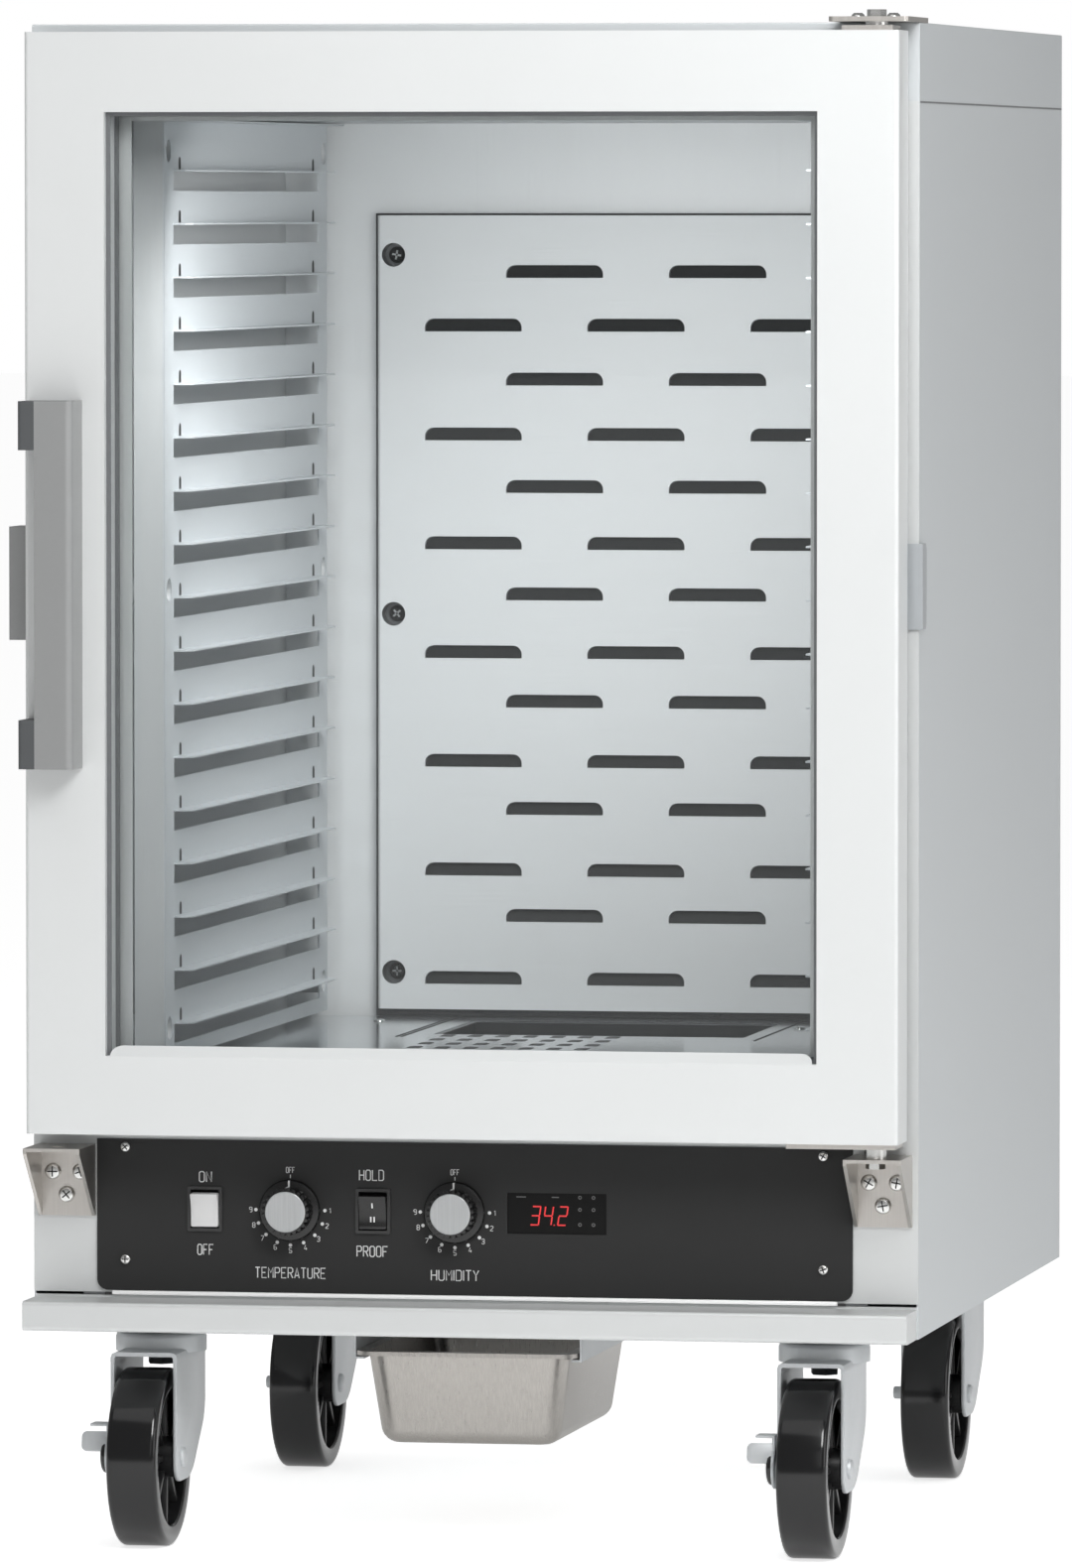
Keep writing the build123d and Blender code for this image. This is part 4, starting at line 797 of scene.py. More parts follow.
def dress_node(name: str, finish: Finish) -> None:
    """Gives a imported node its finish.

    Args:
        name: The node's name.
        finish: The finish.
    """
    node = frame["nodes"][name]
    node.data.materials.clear()
    node.data.materials.append(finish.material())
    log.info("%s: %s", name, finish.name)


def ordered(one: float, other: float) -> Span:
    """Gives two limits in rising order."""
    return (min(one, other), max(one, other))


def moved(span: Span, by: float) -> Span:
    """Gives two limits, moved."""
    return (span[0] + by, span[1] + by)


def around(middle: float, reach: float) -> Span:
    """Gives the two limits that are equally far from a middle."""
    return (middle - reach, middle + reach)


def three_levels(low: float, high: float) -> tuple[float, float, float]:
    """Gives two levels with their middle between them."""
    return (low, (low + high) / 2, high)


class Rounding(Enum):
    """Which two corners of an outline are round."""

    UPPER = "upper"
    FAR = "far"


def arch(width: float, height: float, radius: float, rounding: Rounding = Rounding.UPPER) -> Outline:
    """Gives the outline of a plate with two square and two round corners.

    Args:
        width: Its width, from 0.
        height: Its height, from 0.
        radius: The radius of its round corners.
        rounding: Which corners are round.

    Returns:
        Its corners in order.
    """
    def bend(x: float, z: float, start: float) -> Outline:
        """Gives the points of a quarter circle.

        Args:
            x: Its middle, across.
            z: Its middle, in height.
            start: The angle in degrees that it starts at.

        Returns:
            The points in order.
        """
        angles = [math.radians(start + 90.0 * step / CORNER_STEPS) for step in range(CORNER_STEPS + 1)]
        return [(x + radius * math.cos(angle), z + radius * math.sin(angle)) for angle in angles]
    far = width - radius
    if rounding is Rounding.UPPER:
        return [(0.0, 0.0), (width, 0.0), *bend(far, height - radius, 0.0),
                *bend(radius, height - radius, 90.0)]
    return [(0.0, 0.0), *bend(far, radius, -90.0), *bend(far, height - radius, 0.0), (0.0, height)]


def spread_of(letter: str) -> int:
    """Gives how many grid columns a letter spans."""
    return max(int(mark[0]) for path in GLYPHS[letter] for mark in path.split())


def lettering(text: str, centre: Span, size: Span, y: float, stroke: float = 0.75) -> Form:
    """Makes printed words that face the viewer, in strokes of one width.

    Args:
        text: The words.
        centre: Their middle, to the side and in height.
        size: Their width and height over the letters.
        y: The depth of the surface that they are printed on.
        stroke: The width of the strokes.

    Returns:
        The letters as thin raised ink.
    """
    curve = bpy.data.curves.new("letters", "CURVE")
    curve.dimensions = "3D"
    curve.bevel_depth = stroke / 2
    curve.bevel_resolution = 1
    curve.use_fill_caps = True
    total = sum(spread_of(letter) for letter in text) + LETTER_GAP * (len(text) - 1)
    start = 0.0
    for letter in text:
        for path in GLYPHS[letter]:
            marks = path.split()
            spline = curve.splines.new("POLY")
            spline.use_cyclic_u = marks[0] == marks[-1]
            if spline.use_cyclic_u:
                marks.pop()
            spline.points.add(len(marks) - 1)
            for point, mark in zip(spline.points, marks):
                across = (start + int(mark[0])) / total - 0.5 if total else 0.0
                rise = int(mark[1]) / GLYPH_ROWS - 0.5
                point.co = (across * (size[0] - stroke), rise * (size[1] - stroke), 0.0, 1.0)
        start += spread_of(letter) + LETTER_GAP
    holder = bpy.data.objects.new("letters", curve)
    bpy.context.scene.collection.objects.link(holder)
    bpy.context.view_layer.update()
    flat = bpy.data.meshes.new_from_object(holder)
    bpy.data.objects.remove(holder)
    bpy.data.curves.remove(curve)
    form = Form()
    form.mesh.from_mesh(flat)
    bpy.data.meshes.remove(flat)
    thin = 2 * INK / stroke
    for vertex in form.mesh.verts:
        across, rise, out = vertex.co
        vertex.co = Vector((centre[0] + across, y - out * thin, centre[1] + rise))
    return form


@dataclass
class Screws:
    """Cross-recessed screws with domed heads."""

    radius: float = 6.0
    dome: float = 3.0
    shank: float = 2.5
    length: float = 10.0
    recess: float = 0.62
    blade: float = 0.9
    turn: float = 20.0
    steps: int = 24
    bow: tuple[float, ...] = (0.3, 0.7, 1.0, 1.25, math.pi / 2)
    bow_share: float = 0.8
    crown: tuple[Span, ...] = ((1.04, 0.3), (1.05, 0.0))
    recess_share: Span = (0.6, 1.1)

    def heads(self, places: list[Point], axis: Point) -> Form:
        """Makes the heads and shanks.

        Args:
            places: The middle of the seat under each head.
            axis: The direction that the heads face.

        Returns:
            The screws.
        """
        form = Form()
        drop = self.dome * self.bow_share
        edge = [(self.dome * math.sin(t), self.radius - drop * (1 - math.cos(t))) for t in self.bow]
        crown = [(self.dome * rise, self.radius * share) for rise, share in self.crown]
        profile = [(-self.length, 0.0), (-self.length, self.shank), (0.0, self.shank),
                   (0.0, self.radius), *edge, *crown]
        for place in places:
            form.turning(profile, place, axis, self.steps)
        return form

    def recesses(self, places: list[Point], axis: Point) -> Form:
        """Makes the crosses in the heads, each turned a little further than the last; where they are dark
        they are painted shade of the recess.

        Args:
            places: The middle of the seat under each head.
            axis: The direction that the heads face.

        Returns:
            The crosses.
        """
        form = Form()
        reach, thin = self.radius * self.recess, self.blade / 2
        foot, top = (self.dome * share for share in self.recess_share)
        tip = Vector(UPWARD).rotation_difference(Vector(axis)).to_matrix()
        for number, place in enumerate(places):
            for bar in (0.0, 90.0):
                arm = Form().box(around(0.0, reach), around(0.0, thin), (foot, top))
                arm.turn(bar + self.turn * number, UPWARD, ORIGIN)
                bmesh.ops.rotate(arm.mesh, cent=ORIGIN, matrix=tip, verts=arm.mesh.verts)
                bmesh.ops.translate(arm.mesh, vec=Vector(place), verts=arm.mesh.verts)
                form.join(arm)
        return form


@dataclass
class SheetMetal:
    """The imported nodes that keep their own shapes: sheet metal, glass, seals, handle and inner parts."""

    finishes: dict[str, Finish] = field(default_factory=lambda: dict(NODE_FINISHES))

    def build(self) -> None:
        """Gives each of them its finish."""
        for name, finish in self.finishes.items():
            dress_node(name, finish)


@dataclass
class PanelScrews:
    """The four screws of the control panel."""

    across: float = 250.5
    levels: Span = (206.4, 286.3)
    screws: Screws = field(default_factory=lambda: Screws(3.9, 2.4, 2.0, blade=0.8))

    def build(self) -> None:
        """Adds the screws."""
        seat = front_of("control_panel")
        places = [(side * self.across, seat, level) for level in self.levels for side in SIDES]
        heads = self.screws.heads(places, TO_VIEWER)
        heads.piece("panel_screw_heads", SCREW, "cabinet", "screw_steel", ("panel_screws",))
        # Near-black crosses: painted shade in the heads' recesses.
        crosses = self.screws.recesses(places, TO_VIEWER)
        crosses.piece("panel_screw_crosses", PAINTED_HOLE_SHADE, "cabinet", "screw_steel")


@dataclass
class HingeScrews:
    """The screws of both hinge brackets and of the top hinge plate."""

    level: float = 268.3
    spread: float = 10.0
    drop: float = 16.2
    pin_inset: float = 20.5
    sheet: float = 2.5
    top_place: Span = (284.3, 14.0)
    top_spread: float = 12.6
    large: Screws = field(default_factory=Screws)
    small: Screws = field(default_factory=lambda: Screws(5.0, 3.0, length=4.7))

    def build(self) -> None:
        """Adds the screws."""
        face = front_of("front_frame")
        seat = face - self.sheet
        pin = limits_of("hinge_brackets")[1].x - self.pin_inset
        places = []
        for side in SIDES:
            for spread in (-self.spread, self.spread):
                places.append((side * pin + spread, seat, self.level))
            places.append((side * pin, seat, self.level - self.drop))
        lid = limits_of("top_hinge_plate")[1].z
        across, depth = self.top_place
        top = [(across + side * self.top_spread, face + depth, lid) for side in SIDES]
        heads = self.large.heads(places, TO_VIEWER)
        heads.join(self.small.heads(top, UPWARD))
        heads.piece("hinge_screw_heads", SCREW, "cabinet", "screw_steel", ("hinge_screws",))
        # Near-black crosses: painted shade in the heads' recesses.
        crosses = self.large.recesses(places, TO_VIEWER)
        crosses.join(self.small.recesses(top, UPWARD))
        crosses.piece("hinge_screw_crosses", PAINTED_HOLE_SHADE, "cabinet", "screw_steel")


@dataclass
class DuctPanel:
    """Painted shade behind the duct panel's louvres and round its edges, and its spacers' screws."""

    margin: float = 36.75
    louvre: float = 74.5
    rows: int = 7
    blocks: tuple[tuple[float, float, tuple[float, ...]], ...] = (
        (19.3, 87.8, (-1.0, 0.0, 1.0)), (67.0, 47.3, (-0.5, 0.5)))
    mouth: Span = (73.9, 9.4)
    mouth_corner: float = 6.6
    mouth_depth: float = 1.3
    mouth_lift: float = 0.2
    mouth_sheet: float = 0.3
    mouth_lean: float = 0.4
    cup_inset: float = 12.5
    cup_depth: float = 16.0
    cup_foot: float = 28.0
    cup_head: float = 29.9
    screws: Screws = field(default_factory=lambda: Screws(6.4, 3.0, 2.0, 1.0, recess=0.55, blade=1.5))
    reveal: float = 1.5
    slack: float = 0.05
    seal_depth: Span = (3.0, -0.3)
    seal_foot: float = 0.1

    def build(self) -> None:
        """Adds the louvres' painted shade, the screws and the painted shade round the panel's edges."""
        low, high = limits_of("duct_panel")
        self.add_depths(low, high)
        self.add_screws(low, high)
        self.add_seal(low, high)

    def add_depths(self, low: Vector, high: Vector) -> None:
        """Adds a dark plate behind each louvre: painted shade of the duct's inside.

        Args:
            low: The panel's lower corner.
            high: The panel's upper corner.
        """
        width, height = self.mouth
        outline = arch(width, height, self.mouth_corner)
        spacing = high.x - self.margin - self.louvre / 2
        form = Form()
        for start, head, columns in self.blocks:
            pitch = (high.z - low.z - start - head) / (self.rows - 1)
            for row in range(self.rows):
                level = low.z + start + row * pitch + self.mouth_lift
                for column in columns:
                    foot = (column * spacing - width / 2, low.y + self.mouth_depth, level)
                    plate = Form().plate(outline, SIDEWAYS, UPWARD, foot, -self.mouth_sheet)
                    for vertex in plate.mesh.verts:
                        vertex.co.y += (vertex.co.z - level) * self.mouth_lean
                    form.join(plate)
        form.piece("louvre_painted_shade", PAINTED_OPENING_SHADE, "cabinet", "black_plastic")

    def add_screws(self, low: Vector, high: Vector) -> None:
        """Adds the screws at the bottom of the spacer cups.

        Args:
            low: The panel's lower corner.
            high: The panel's upper corner.
        """
        seat, across = low.y + self.cup_depth, high.x - self.cup_inset
        levels = three_levels(low.z + self.cup_foot, high.z - self.cup_head)
        places = [(side * across, seat, level) for level in levels for side in SIDES]
        # The heads are near black, painted shade at the bottom of the cups; the crosses are bright screw
        # steel.
        heads = self.screws.heads(places, TO_VIEWER)
        heads.piece("spacer_screw_heads", CUP_SCREW_IN_SHADE, "cabinet", "screw_steel")
        crosses = self.screws.recesses(places, TO_VIEWER)
        crosses.piece("spacer_screw_crosses", SCREW, "cabinet", "screw_steel")

    def add_seal(self, low: Vector, high: Vector) -> None:
        """Adds black strips between the panel and the lining round it: painted shade of the gap at the
        panel's edges.

        Args:
            low: The panel's lower corner.
            high: The panel's upper corner.
        """
        foot = limits_of("interior_floor")[1].z + self.seal_foot
        depth = (low.y + self.seal_depth[0], high.y + self.seal_depth[1])
        edge, slack = self.reveal, self.slack
        form = Form()
        form.box((low.x - edge, low.x - slack), depth, (foot, high.z + edge))
        form.box((high.x + slack, high.x + edge), depth, (foot, high.z + edge))
        form.box((low.x, high.x), depth, (high.z + slack, high.z + edge))
        form.box((low.x, high.x), depth, (foot, low.z - slack))
        # Painted shade of the gap round the panel's edges.
        form.piece("duct_edge_painted_shade", GAP_PAINTED_SHADE, "cabinet", "black_plastic")


@dataclass
class SlideRacks:
    """The racks' front flanges, and dark plates in the mouths of their slots and screw cups: painted shade.
    """

    sheet: float = 1.2
    first_rise: float = 26.0
    last_drop: float = 35.4
    levels: int = 17
    slot: Span = (7.0, 9.0)
    slot_corner: float = 3.4
    slot_inset: float = 52.5
    slot_lift: float = 0.3
    slot_sheet: float = 0.15
    cup: float = 7.0
    cup_sheet: float = 0.3
    cup_depth: float = 4.0
    cup_front: float = 15.0
    cup_back: float = 13.0
    cup_foot: float = 23.0
    cup_head: float = 22.0
    cup_steps: int = 32
    flange: float = 21.0

    def build(self) -> None:
        """Adds the flanges and the mouths' painted shade."""
        mouths, flanges = Form(), Form()
        for side, name in zip(SIDES, ("left", "right")):
            low, high = limits_of(f"slide_rack_{name}")
            self.mark(mouths, side, low, high)
            wall = low.x if side < 0 else high.x
            reach = ordered(wall, wall + side * self.flange)
            flanges.box(reach, (low.y, low.y + self.sheet), (low.z, high.z))
        flanges.piece("rack_front_flanges", FLANGE, "cabinet", "stainless")
        # Dark plates in the slots and cups: painted shade.
        mouths.piece("rack_relief_painted_shade", PAINTED_HOLE_SHADE, "cabinet", "stainless")

    def mark(self, form: Form, side: int, low: Vector, high: Vector) -> None:
        """Adds the painted shade in the mouths of one rack.

        Args:
            form: What they are added to.
            side: -1 for the left rack, 1 for the right one.
            low: The rack's lower corner.
            high: The rack's upper corner.
        """
        face = low.x + self.sheet if side < 0 else high.x - self.sheet
        first = low.z + self.first_rise
        pitch = (high.z - self.last_drop - first) / (self.levels - 1)
        width, height = self.slot
        outline = arch(width, height, self.slot_corner)
        for level in range(self.levels):
            for y in (low.y + self.slot_inset, high.y - self.slot_inset):
                foot = (face, y - width / 2, first + level * pitch + self.slot_lift)
                form.join(Form().plate(outline, INWARD, UPWARD, foot, -side * self.slot_sheet))
        for z in three_levels(low.z + self.cup_foot, high.z - self.cup_head):
            for y in (low.y + self.cup_front, high.y - self.cup_back):
                spot = (face + side * self.cup_depth, y, z)
                form.disc((0.0, self.cup_sheet), self.cup, spot, SIDEWAYS, self.cup_steps)


@dataclass
class InteriorFloor:
    """Dark dots round the well and dark plates over the drain's holes, both painted shade of holes, and the
    floor's screws.
    """

    border: tuple[float, float, float, float] = (-139.0, 130.0, 119.0, 346.0)
    dot: float = 0.9
    dot_step: float = 4.0
    dot_rise: Span = (-0.1, 0.3)
    mouth: Span = (9.4, 19.0)
    mouth_corner: float = 3.76
    mouth_sheet: float = 0.2
    start: Span = (-103.0, 135.5)
    pitch: Span = (20.7, 43.3)
    columns: int = 7
    rows: int = 6
    screw_places: tuple[Span, ...] = ((-185.0, 287.5), (140.5, 259.5))
    screws: Screws = field(default_factory=lambda: Screws(4.5, 1.6, 1.5, 0.8))

    def build(self) -> None:
        """Adds the dots, the painted shade over the drain and the screws."""
        lid = limits_of("interior_floor")[1].z
        self.add_dots(lid)
        self.add_mouths(lid)
        heads = self.screws.heads([(x, y, lid) for x, y in self.screw_places], UPWARD)
        heads.piece("floor_screws", SCREW, "cabinet", "screw_steel")

    def add_dots(self, lid: float) -> None:
        """Adds dark dots on three sides of the well: painted shade of its perforations.

        Args:
            lid: The floor's upper face.
        """
        left, right, front, back = self.border
        step = self.dot_step
        deep = [front + number * step for number in range(int((back - front) / step))]
        wide = [left + number * step for number in range(int((right - left) / step))]
        places = [(x, y) for y in deep for x in (left, left + step, right)] + [(x, back) for x in wide]
        form = Form()
        for x, y in places:
            form.box(around(x, self.dot), around(y, self.dot), moved(self.dot_rise, lid))
        # Painted shade of the perforations round the well.
        form.piece("well_border_dots", PAINTED_HOLE_SHADE, "cabinet", "stainless")

    def add_mouths(self, lid: float) -> None:
        """Adds a dark plate over each hole of the drain: painted shade of the hole.

        Args:
            lid: The floor's upper face.
        """
        width, length = self.mouth
        outline = arch(width, length, self.mouth_corner)
        form = Form()
        for column in range(self.columns):
            for row in range(self.rows):
                x = self.start[0] + column * self.pitch[0] - width / 2
                y = self.start[1] - row * self.pitch[1] - length / 2
                form.join(Form().plate(outline, SIDEWAYS, INWARD, (x, y, lid), self.mouth_sheet))
        # Dark plates over the drain's holes: painted shade.
        form.piece("drain_hole_painted_shade", PAINTED_OPENING_SHADE, "cabinet", "stainless")


@dataclass
class FrameTrim:
    """The strip, end blocks and clips under the control panel, and the cap's side seams."""

    half: float = 260.5
    strip_depth: Span = (-2.6, -0.05)
    strip_rise: Span = (-1.8, 1.3)
    strip_edge: float = 0.8
    block: float = 5.5
    block_depth: Span = (-0.8, 4.0)
    block_rise: Span = (-1.9, -0.05)
    clip: float = 15.5
    clip_depth: Span = (0.4, 4.0)
    clip_rise: Span = (-1.6, -0.3)
    seam: Span = (1024.8, 1026.0)
    seam_sheet: float = 0.2
    seam_inset: float = 2.0

    def build(self) -> None:
        """Adds the strip, the blocks, the clips and the seams."""
        face, foot = front_of("front_frame"), limits_of("front_frame")[0].z
        # The strip's brighter white is a painted highlight along the edge under the panel.
        strip = Form().box(around(0.0, self.half), moved(self.strip_depth, face),
                           moved(self.strip_rise, foot), self.strip_edge)
        strip.piece("foot_strip", HIGHLIGHT_WHITE, "cabinet", "white_enamel")
        blocks, clips, seams = Form(), Form(), Form()
        low, high = limits_of("side_panel_right")
        for side in SIDES:
            inner, outer = side * self.half, side * (self.half + self.block)
            blocks.box(ordered(inner, outer), moved(self.block_depth, face), moved(self.block_rise, foot))
            reach = ordered(outer, outer + side * self.clip)
            clips.box(reach, moved(self.clip_depth, face), moved(self.clip_rise, foot))
            skin = ordered(side * high.x, side * (high.x + self.seam_sheet))
            seams.box(skin, (low.y + self.seam_inset, high.y - self.seam_inset), self.seam)
        blocks.piece("foot_blocks", BLACK_PLASTIC, "cabinet", "black_plastic")
        clips.piece("foot_clips", CUP_STEEL, "cabinet", "stainless")
        seams.piece("cap_seams", CUP_STEEL, "cabinet", "grey_side")


@dataclass
class Knob:
    """A control knob with a skirt, a fluted body and an aluminium cap."""

    node: str
    skirt: float = 4.5
    skirt_edge: tuple[Span, ...] = ((-1.6, 0.0), (-0.8, -0.3), (-0.2, -0.9), (0.0, -1.7))
    skirt_step: Span = (0.3, -1.0)
    body_radius: float = 17.0
    waist: float = 15.4
    height: float = 19.5
    edge: float = 0.5
    cap_radius: float = 14.4
    cap_edge: tuple[Span, ...] = ((-2.0, 0.0), (-0.4, 0.0), (0.0, -0.5))
    lip: float = 0.6
    flutes: int = 24
    flute_steps: int = 6
    gap: float = 0.6
    shaft: Span = (3.0, 13.0)
    line: float = 0.6
    line_share: float = 0.6
    line_depth: float = 0.1
    line_rise: Span = (-0.6, 0.12)
    foot_depth: Span = (-0.35, 1.0)
    foot_rise: Span = (-0.5, -0.6)
    steps: int = 96

    def build(self) -> None:
        """Builds the knob on its own body."""
        low, high = limits_of(self.node)
        centre = middle_of(self.node)
        origin = (centre.x, front_of("control_panel") - self.gap, centre.z)
        rim = (high.x - low.x) / 2
        self.add_grip(origin, rim)
        self.add_cap(origin)
        self.add_pointer(origin, rim)

    def add_grip(self, origin: Point, rim: float) -> None:
        """Adds the skirt and the grip.

        Args:
            origin: The middle of the skirt's back.
            rim: The skirt's radius.
        """
        radius, depth = self.shaft
        edge = [(self.skirt + rise, rim + out) for rise, out in self.skirt_edge]
        step = self.skirt + self.skirt_step[0]
        profile = [(-depth, 0.0), (-depth, radius), (0.0, radius), (0.0, rim), *edge,
                   (step, self.body_radius + self.skirt_step[1]), (step, 0.0)]
        form = Form().turning(profile, origin, TO_VIEWER, self.steps)
        form.join(self.fluted_body(origin))
        form.piece(f"{self.node}_body", GLOSS_BLACK, self.node, "knob_black", (self.node,), smooth=30.0)

    def fluted_body(self, origin: Point) -> Form:
        """Makes the fluted grip.

        Args:
            origin: The middle of the skirt's back.

        Returns:
            The grip.
        """
        form = Form()
        middle = Vector((origin[0], origin[1] - self.skirt, origin[2]))
        place = Matrix.Translation(middle) @ Matrix.Rotation(math.radians(90), 4, "X")
        ring = bmesh.ops.create_circle(form.mesh, cap_ends=True, segments=self.flutes * self.flute_steps,
                                       radius=self.body_radius, matrix=place)["verts"]
        for number, vertex in enumerate(ring):
            if number % self.flute_steps in (0, 1):
                vertex.co = middle + (vertex.co - middle) * (self.waist / self.body_radius)
        grip = bmesh.ops.extrude_face_region(form.mesh, geom=list(form.mesh.faces))["geom"]
        verts = [g for g in grip if isinstance(g, bmesh.types.BMVert)]
        rise = self.height - self.skirt - self.gap - self.lip
        bmesh.ops.translate(form.mesh, vec=(0.0, -rise, 0.0), verts=verts)
        bmesh.ops.recalc_face_normals(form.mesh, faces=list(form.mesh.faces))
        form.round_edges([e for e in form.mesh.edges if all(v in verts for v in e.verts)], self.edge)
        return form

    def add_cap(self, origin: Point) -> None:
        """Adds the aluminium cap.

        Args:
            origin: The middle of the skirt's back.
        """
        top = self.height - self.gap
        edge = [(top + rise, self.cap_radius + out) for rise, out in self.cap_edge]
        cap = Form().turning([(edge[0][0], 0.0), *edge, (top, 0.0)], origin, TO_VIEWER, self.steps)
        cap.piece(f"{self.node}_cap", CAP_METAL, self.node, "screw_steel")

    def add_pointer(self, origin: Point, rim: float) -> None:
        """Adds the white line on the grip and the skirt.

        Args:
            origin: The middle of the skirt's back.
            rim: The skirt's radius.
        """
        across = around(origin[0], self.line)
        skirt = origin[1] - self.skirt
        grip = origin[2] + self.body_radius
        form = Form().box(across, (origin[1] - self.height * self.line_share, skirt - self.line_depth),
                          moved(self.line_rise, grip))
        form.box(across, moved(self.foot_depth, skirt),
                 (grip + self.foot_rise[0], origin[2] + rim + self.foot_rise[1]))
        form.piece(f"{self.node}_pointer", WHITE_INK, self.node, "screw_steel")


@dataclass
class Rocker:
    """A rocker of a panel switch, resting with one end pressed in."""

    node: str
    finish: Finish
    slot: str
    marks: tuple[str, ...] = ()
    mark_levels: Span = (5.0, -5.0)
    mark_size: Span = (3.4, 4.8)
    mark_stroke: float = 1.0
    mark_gap: float = 0.05
    width: float = 20.0
    height: float = 24.2
    proud: float = 3.6
    hollow: float = 2.0
    curve: tuple[float, ...] = (1.0, 0.75, 0.5, 0.25, 0.0, -0.25, -0.5, -0.75, -1.0)
    back: Span = (6.0, 5.0)
    cheek: Span = (2.0, 11.5)
    edge: float = 1.3
    tilt: float = 9.0
    pivot_depth: float = 2.5
    pin: Span = (11.0, 1.5)
    pin_steps: int = 24

    def build(self) -> None:
        """Builds the rocker on its own body."""
        pivot = pivot_of(self.node)
        tip, half = -self.proud - self.pivot_depth, self.height / 2
        curve = [(tip + self.hollow * (1 - t * t), half * t) for t in self.curve]
        back, cheek = self.back, self.cheek
        outline = [(back[0], -back[1]), back, cheek, *curve, (cheek[0], -cheek[1])]
        origin = (pivot.x - self.width / 2, pivot.y, pivot.z)
        form = Form().plate(outline, INWARD, UPWARD, origin, self.width, edge=self.edge)
        form.turn(self.tilt, SIDEWAYS, tuple(pivot))
        reach, radius = self.pin
        form.disc((-reach, reach), radius, tuple(pivot), SIDEWAYS, self.pin_steps)
        form.piece(f"{self.node}_body", self.finish, self.node, self.slot, (self.node,), smooth=40.0)
        for mark, level in zip(self.marks, self.mark_levels):
            spot = (pivot.x, pivot.z + level)
            ink = lettering(mark, spot, self.mark_size, pivot.y + tip - self.mark_gap, self.mark_stroke)
            for vertex in ink.mesh.verts:
                vertex.co.y += self.hollow * (1.0 - ((vertex.co.z - pivot.z) / half) ** 2)
            ink.turn(self.tilt, SIDEWAYS, tuple(pivot))
            ink.piece(f"{self.node}_mark_{len(mark)}", WHITE_INK, self.node, self.slot)


